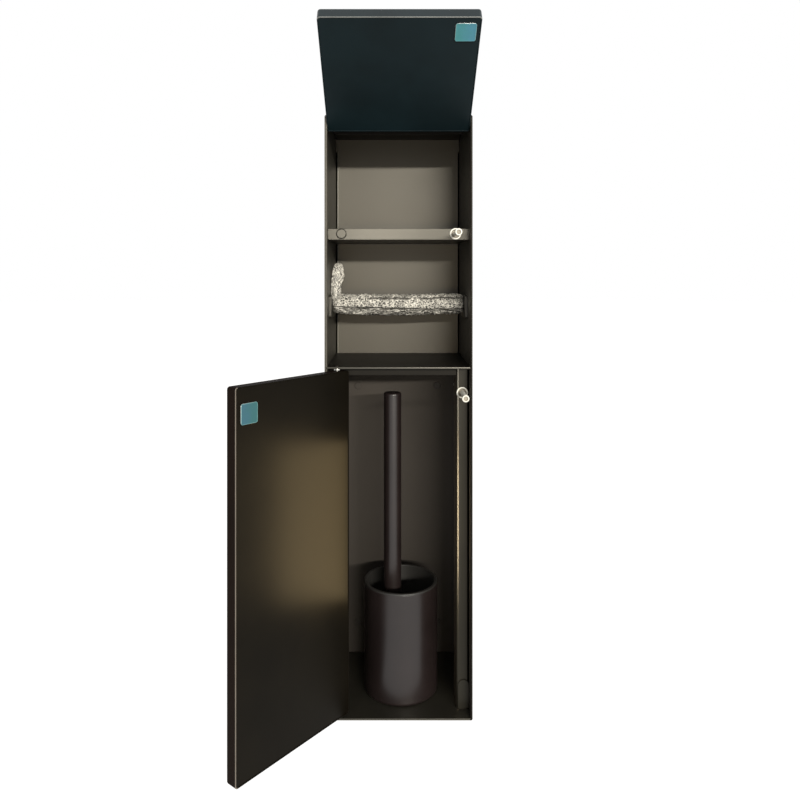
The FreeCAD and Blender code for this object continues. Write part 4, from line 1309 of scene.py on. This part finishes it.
class CABINET_OT_stage(bpy.types.Operator):
    """Pale floor, strip light, room light and the camera"""

    bl_idname = "cabinet.stage"
    bl_label = "Stage"

    def execute(self, context):
        stage = context.scene.cabinet_stage
        self.floor()
        self.world(stage)
        self.key(stage)
        self.cards()
        self.camera(stage)
        context.scene.view_settings.view_transform = "Standard"
        return {"FINISHED"}

    def floor(self):
        """A flat disc, radius times (cos a, sin a), that looks white and lights the object softly."""
        sides, radius = 96, 12.0
        angles = np.linspace(0, 2 * np.pi, sides, endpoint=False)
        points = np.stack([np.cos(angles), np.sin(angles), np.zeros(sides)], axis=1) * radius
        mesh = bpy.data.meshes.new("floor")
        mesh.from_pydata(points.tolist(), [], [list(range(sides))])
        finish = Finish("floor_white", "", Base_Color=(0.3, 0.3, 0.3, 1.0), Specular_IOR_Level=0.0,
                        Roughness=1.0, Emission_Color=(*WHITE, 1.0))
        plain = Value(finish, finish.shader.outputs[0])
        glow = finish.node("ShaderNodeEmission", None, {"Color": (*WHITE, 1.0), "Strength": 0.95})
        bright = finish.node("ShaderNodeAddShader", None, {0: plain, 1: glow})
        finish.swap_when_seen(plain, bright, "Material Output")
        mesh.materials.append(finish.material)
        added("floor", mesh)

    def world(self, stage):
        """Soft room light, with plain white behind everything."""
        world = bpy.data.worlds.new("room")
        bpy.context.scene.world = world
        world.use_nodes = True
        room = Nodes(world.node_tree)
        background = room.tree.nodes["Background"]
        background.inputs["Color"].default_value = (*stage.ambient_colour, 1.0)
        background.inputs["Strength"].default_value = stage.ambient
        white = room.node("ShaderNodeBackground", None, {"Color": (*WHITE, 1.0), "Strength": 1.0})
        room.swap_when_seen(Value(room, background.outputs[0]), white, "World Output")

    def lamp(self, name, place, aim, size, power, colour):
        """A rectangular lamp at a place, turned to face its aim."""
        light = bpy.data.lights.new(name, "AREA")
        light.shape = "RECTANGLE"
        light.size, light.size_y = size
        light.energy = power
        light.color = colour
        lamp = added(name, light)
        lamp.location = place
        lamp.rotation_euler = (Vector(aim) - Vector(place)).to_track_quat("-Z", "Y").to_euler()
        return lamp

    def key(self, stage):
        """A wide, low strip above the viewer and mostly to the right."""
        self.lamp("strip_light", (2.1, -6.0, 1.66), (0.0, 0.0, 0.5), (3.6, 0.11), stage.key_power,
                  stage.key_colour)

    def cards(self):
        """Lit cards that only show as reflections, each on the pieces named last."""
        for name, place, aim, size, power, colour, *receivers in (
                ("door_card", (-0.02, -0.0995, 0.2025), (-0.12, -0.0995, 0.2025), (0.08, 0.18), 0.52,
                 (1.0, 0.76, 0.41), "door_rear_panel"),
                ("post_card", (-0.05, -0.16, 0.172), (0.058, -0.053, 0.172), (0.05, 0.17), 2.7,
                 (1.0, 0.81, 0.55), "latch_post_sheet"),
                ("post_top_card", (-0.05, -0.16, 0.324), (0.058, -0.053, 0.33), (0.06, 0.06), 0.5,
                 (1.0, 0.95, 0.86), "latch_post_sheet"),
                ("lip_card", (-0.045, -0.65, 0.565), (-0.02, 0.0, 0.53), (0.12, 0.05), 2.1,
                 (1.0, 0.95, 0.84), "shelf_sheet", "lip_plug_cap"),
                ("back_card", (0.0, -1.2, 0.4), (0.0, 0.068, 0.5), (0.3, 0.1), 1.1, (1.0, 0.75, 0.42),
                 frame["nodes"]["back_plate"].name)):
            lamp = self.lamp(name, place, aim, size, power, colour)
            lamp.visible_camera = False
            lamp.visible_diffuse = False
            lit = bpy.data.collections.new(name + "_lights")
            for receiver in receivers:
                lit.objects.link(bpy.data.objects[receiver])
            lamp.light_linking.receiver_collection = lit

    def camera(self, stage):
        """The photograph's view: level, with the lens shifted."""
        lens = bpy.data.cameras.new("photo_view")
        lens.sensor_width = 36.0
        lens.lens = stage.lens
        lens.shift_x, lens.shift_y = VIEW_SHIFT
        camera = added("photo_view", lens)
        camera.location = VIEW_PLACE
        camera.rotation_euler = (math.pi / 2, 0, 0)
        bpy.context.scene.camera = camera


OPERATORS = (CABINET_OT_case_plates, CABINET_OT_inner_sheets, CABINET_OT_leaves, CABINET_OT_hinges,
             CABINET_OT_latches, CABINET_OT_roll_rod, CABINET_OT_brush_pot, CABINET_OT_brush,
             CABINET_OT_stage)
GROUPS = {"cabinet_sizes": CabinetSizes, "cabinet_colours": CabinetColours,
          "cabinet_gloss": CabinetGloss, "cabinet_stage": StageSettings}


class CABINET_PT_panel(bpy.types.Panel):
    """Lists the cabinet's sizes, colours and makers"""

    bl_idname = "CABINET_PT_panel"
    bl_label = "Recessed cabinet"
    bl_space_type = "VIEW_3D"
    bl_region_type = "UI"
    bl_category = "Cabinet"

    def draw(self, context):
        for group_name in GROUPS:
            group = getattr(context.scene, group_name)
            box = self.layout.box()
            for name in group.bl_rna.properties.keys():
                if name not in ("rna_type", "name"):
                    box.prop(group, name)
        for operator in OPERATORS:
            self.layout.operator(operator.bl_idname)


def register():
    for name, group in GROUPS.items():
        bpy.utils.register_class(group)
        setattr(bpy.types.Scene, name, PointerProperty(type=group))
    for cls in (*OPERATORS, CABINET_PT_panel):
        bpy.utils.register_class(cls)


def unregister():
    for cls in reversed((*OPERATORS, CABINET_PT_panel)):
        bpy.utils.unregister_class(cls)
    for name, group in reversed(GROUPS.items()):
        delattr(bpy.types.Scene, name)
        bpy.utils.unregister_class(group)


def main():
    """Registers the add-on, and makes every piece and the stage."""
    register()
    for operator in OPERATORS:
        group, name = operator.bl_idname.split(".")
        getattr(getattr(bpy.ops, group), name)()
    bpy.context.view_layer.update()


if __name__ == "__main__":
    main()
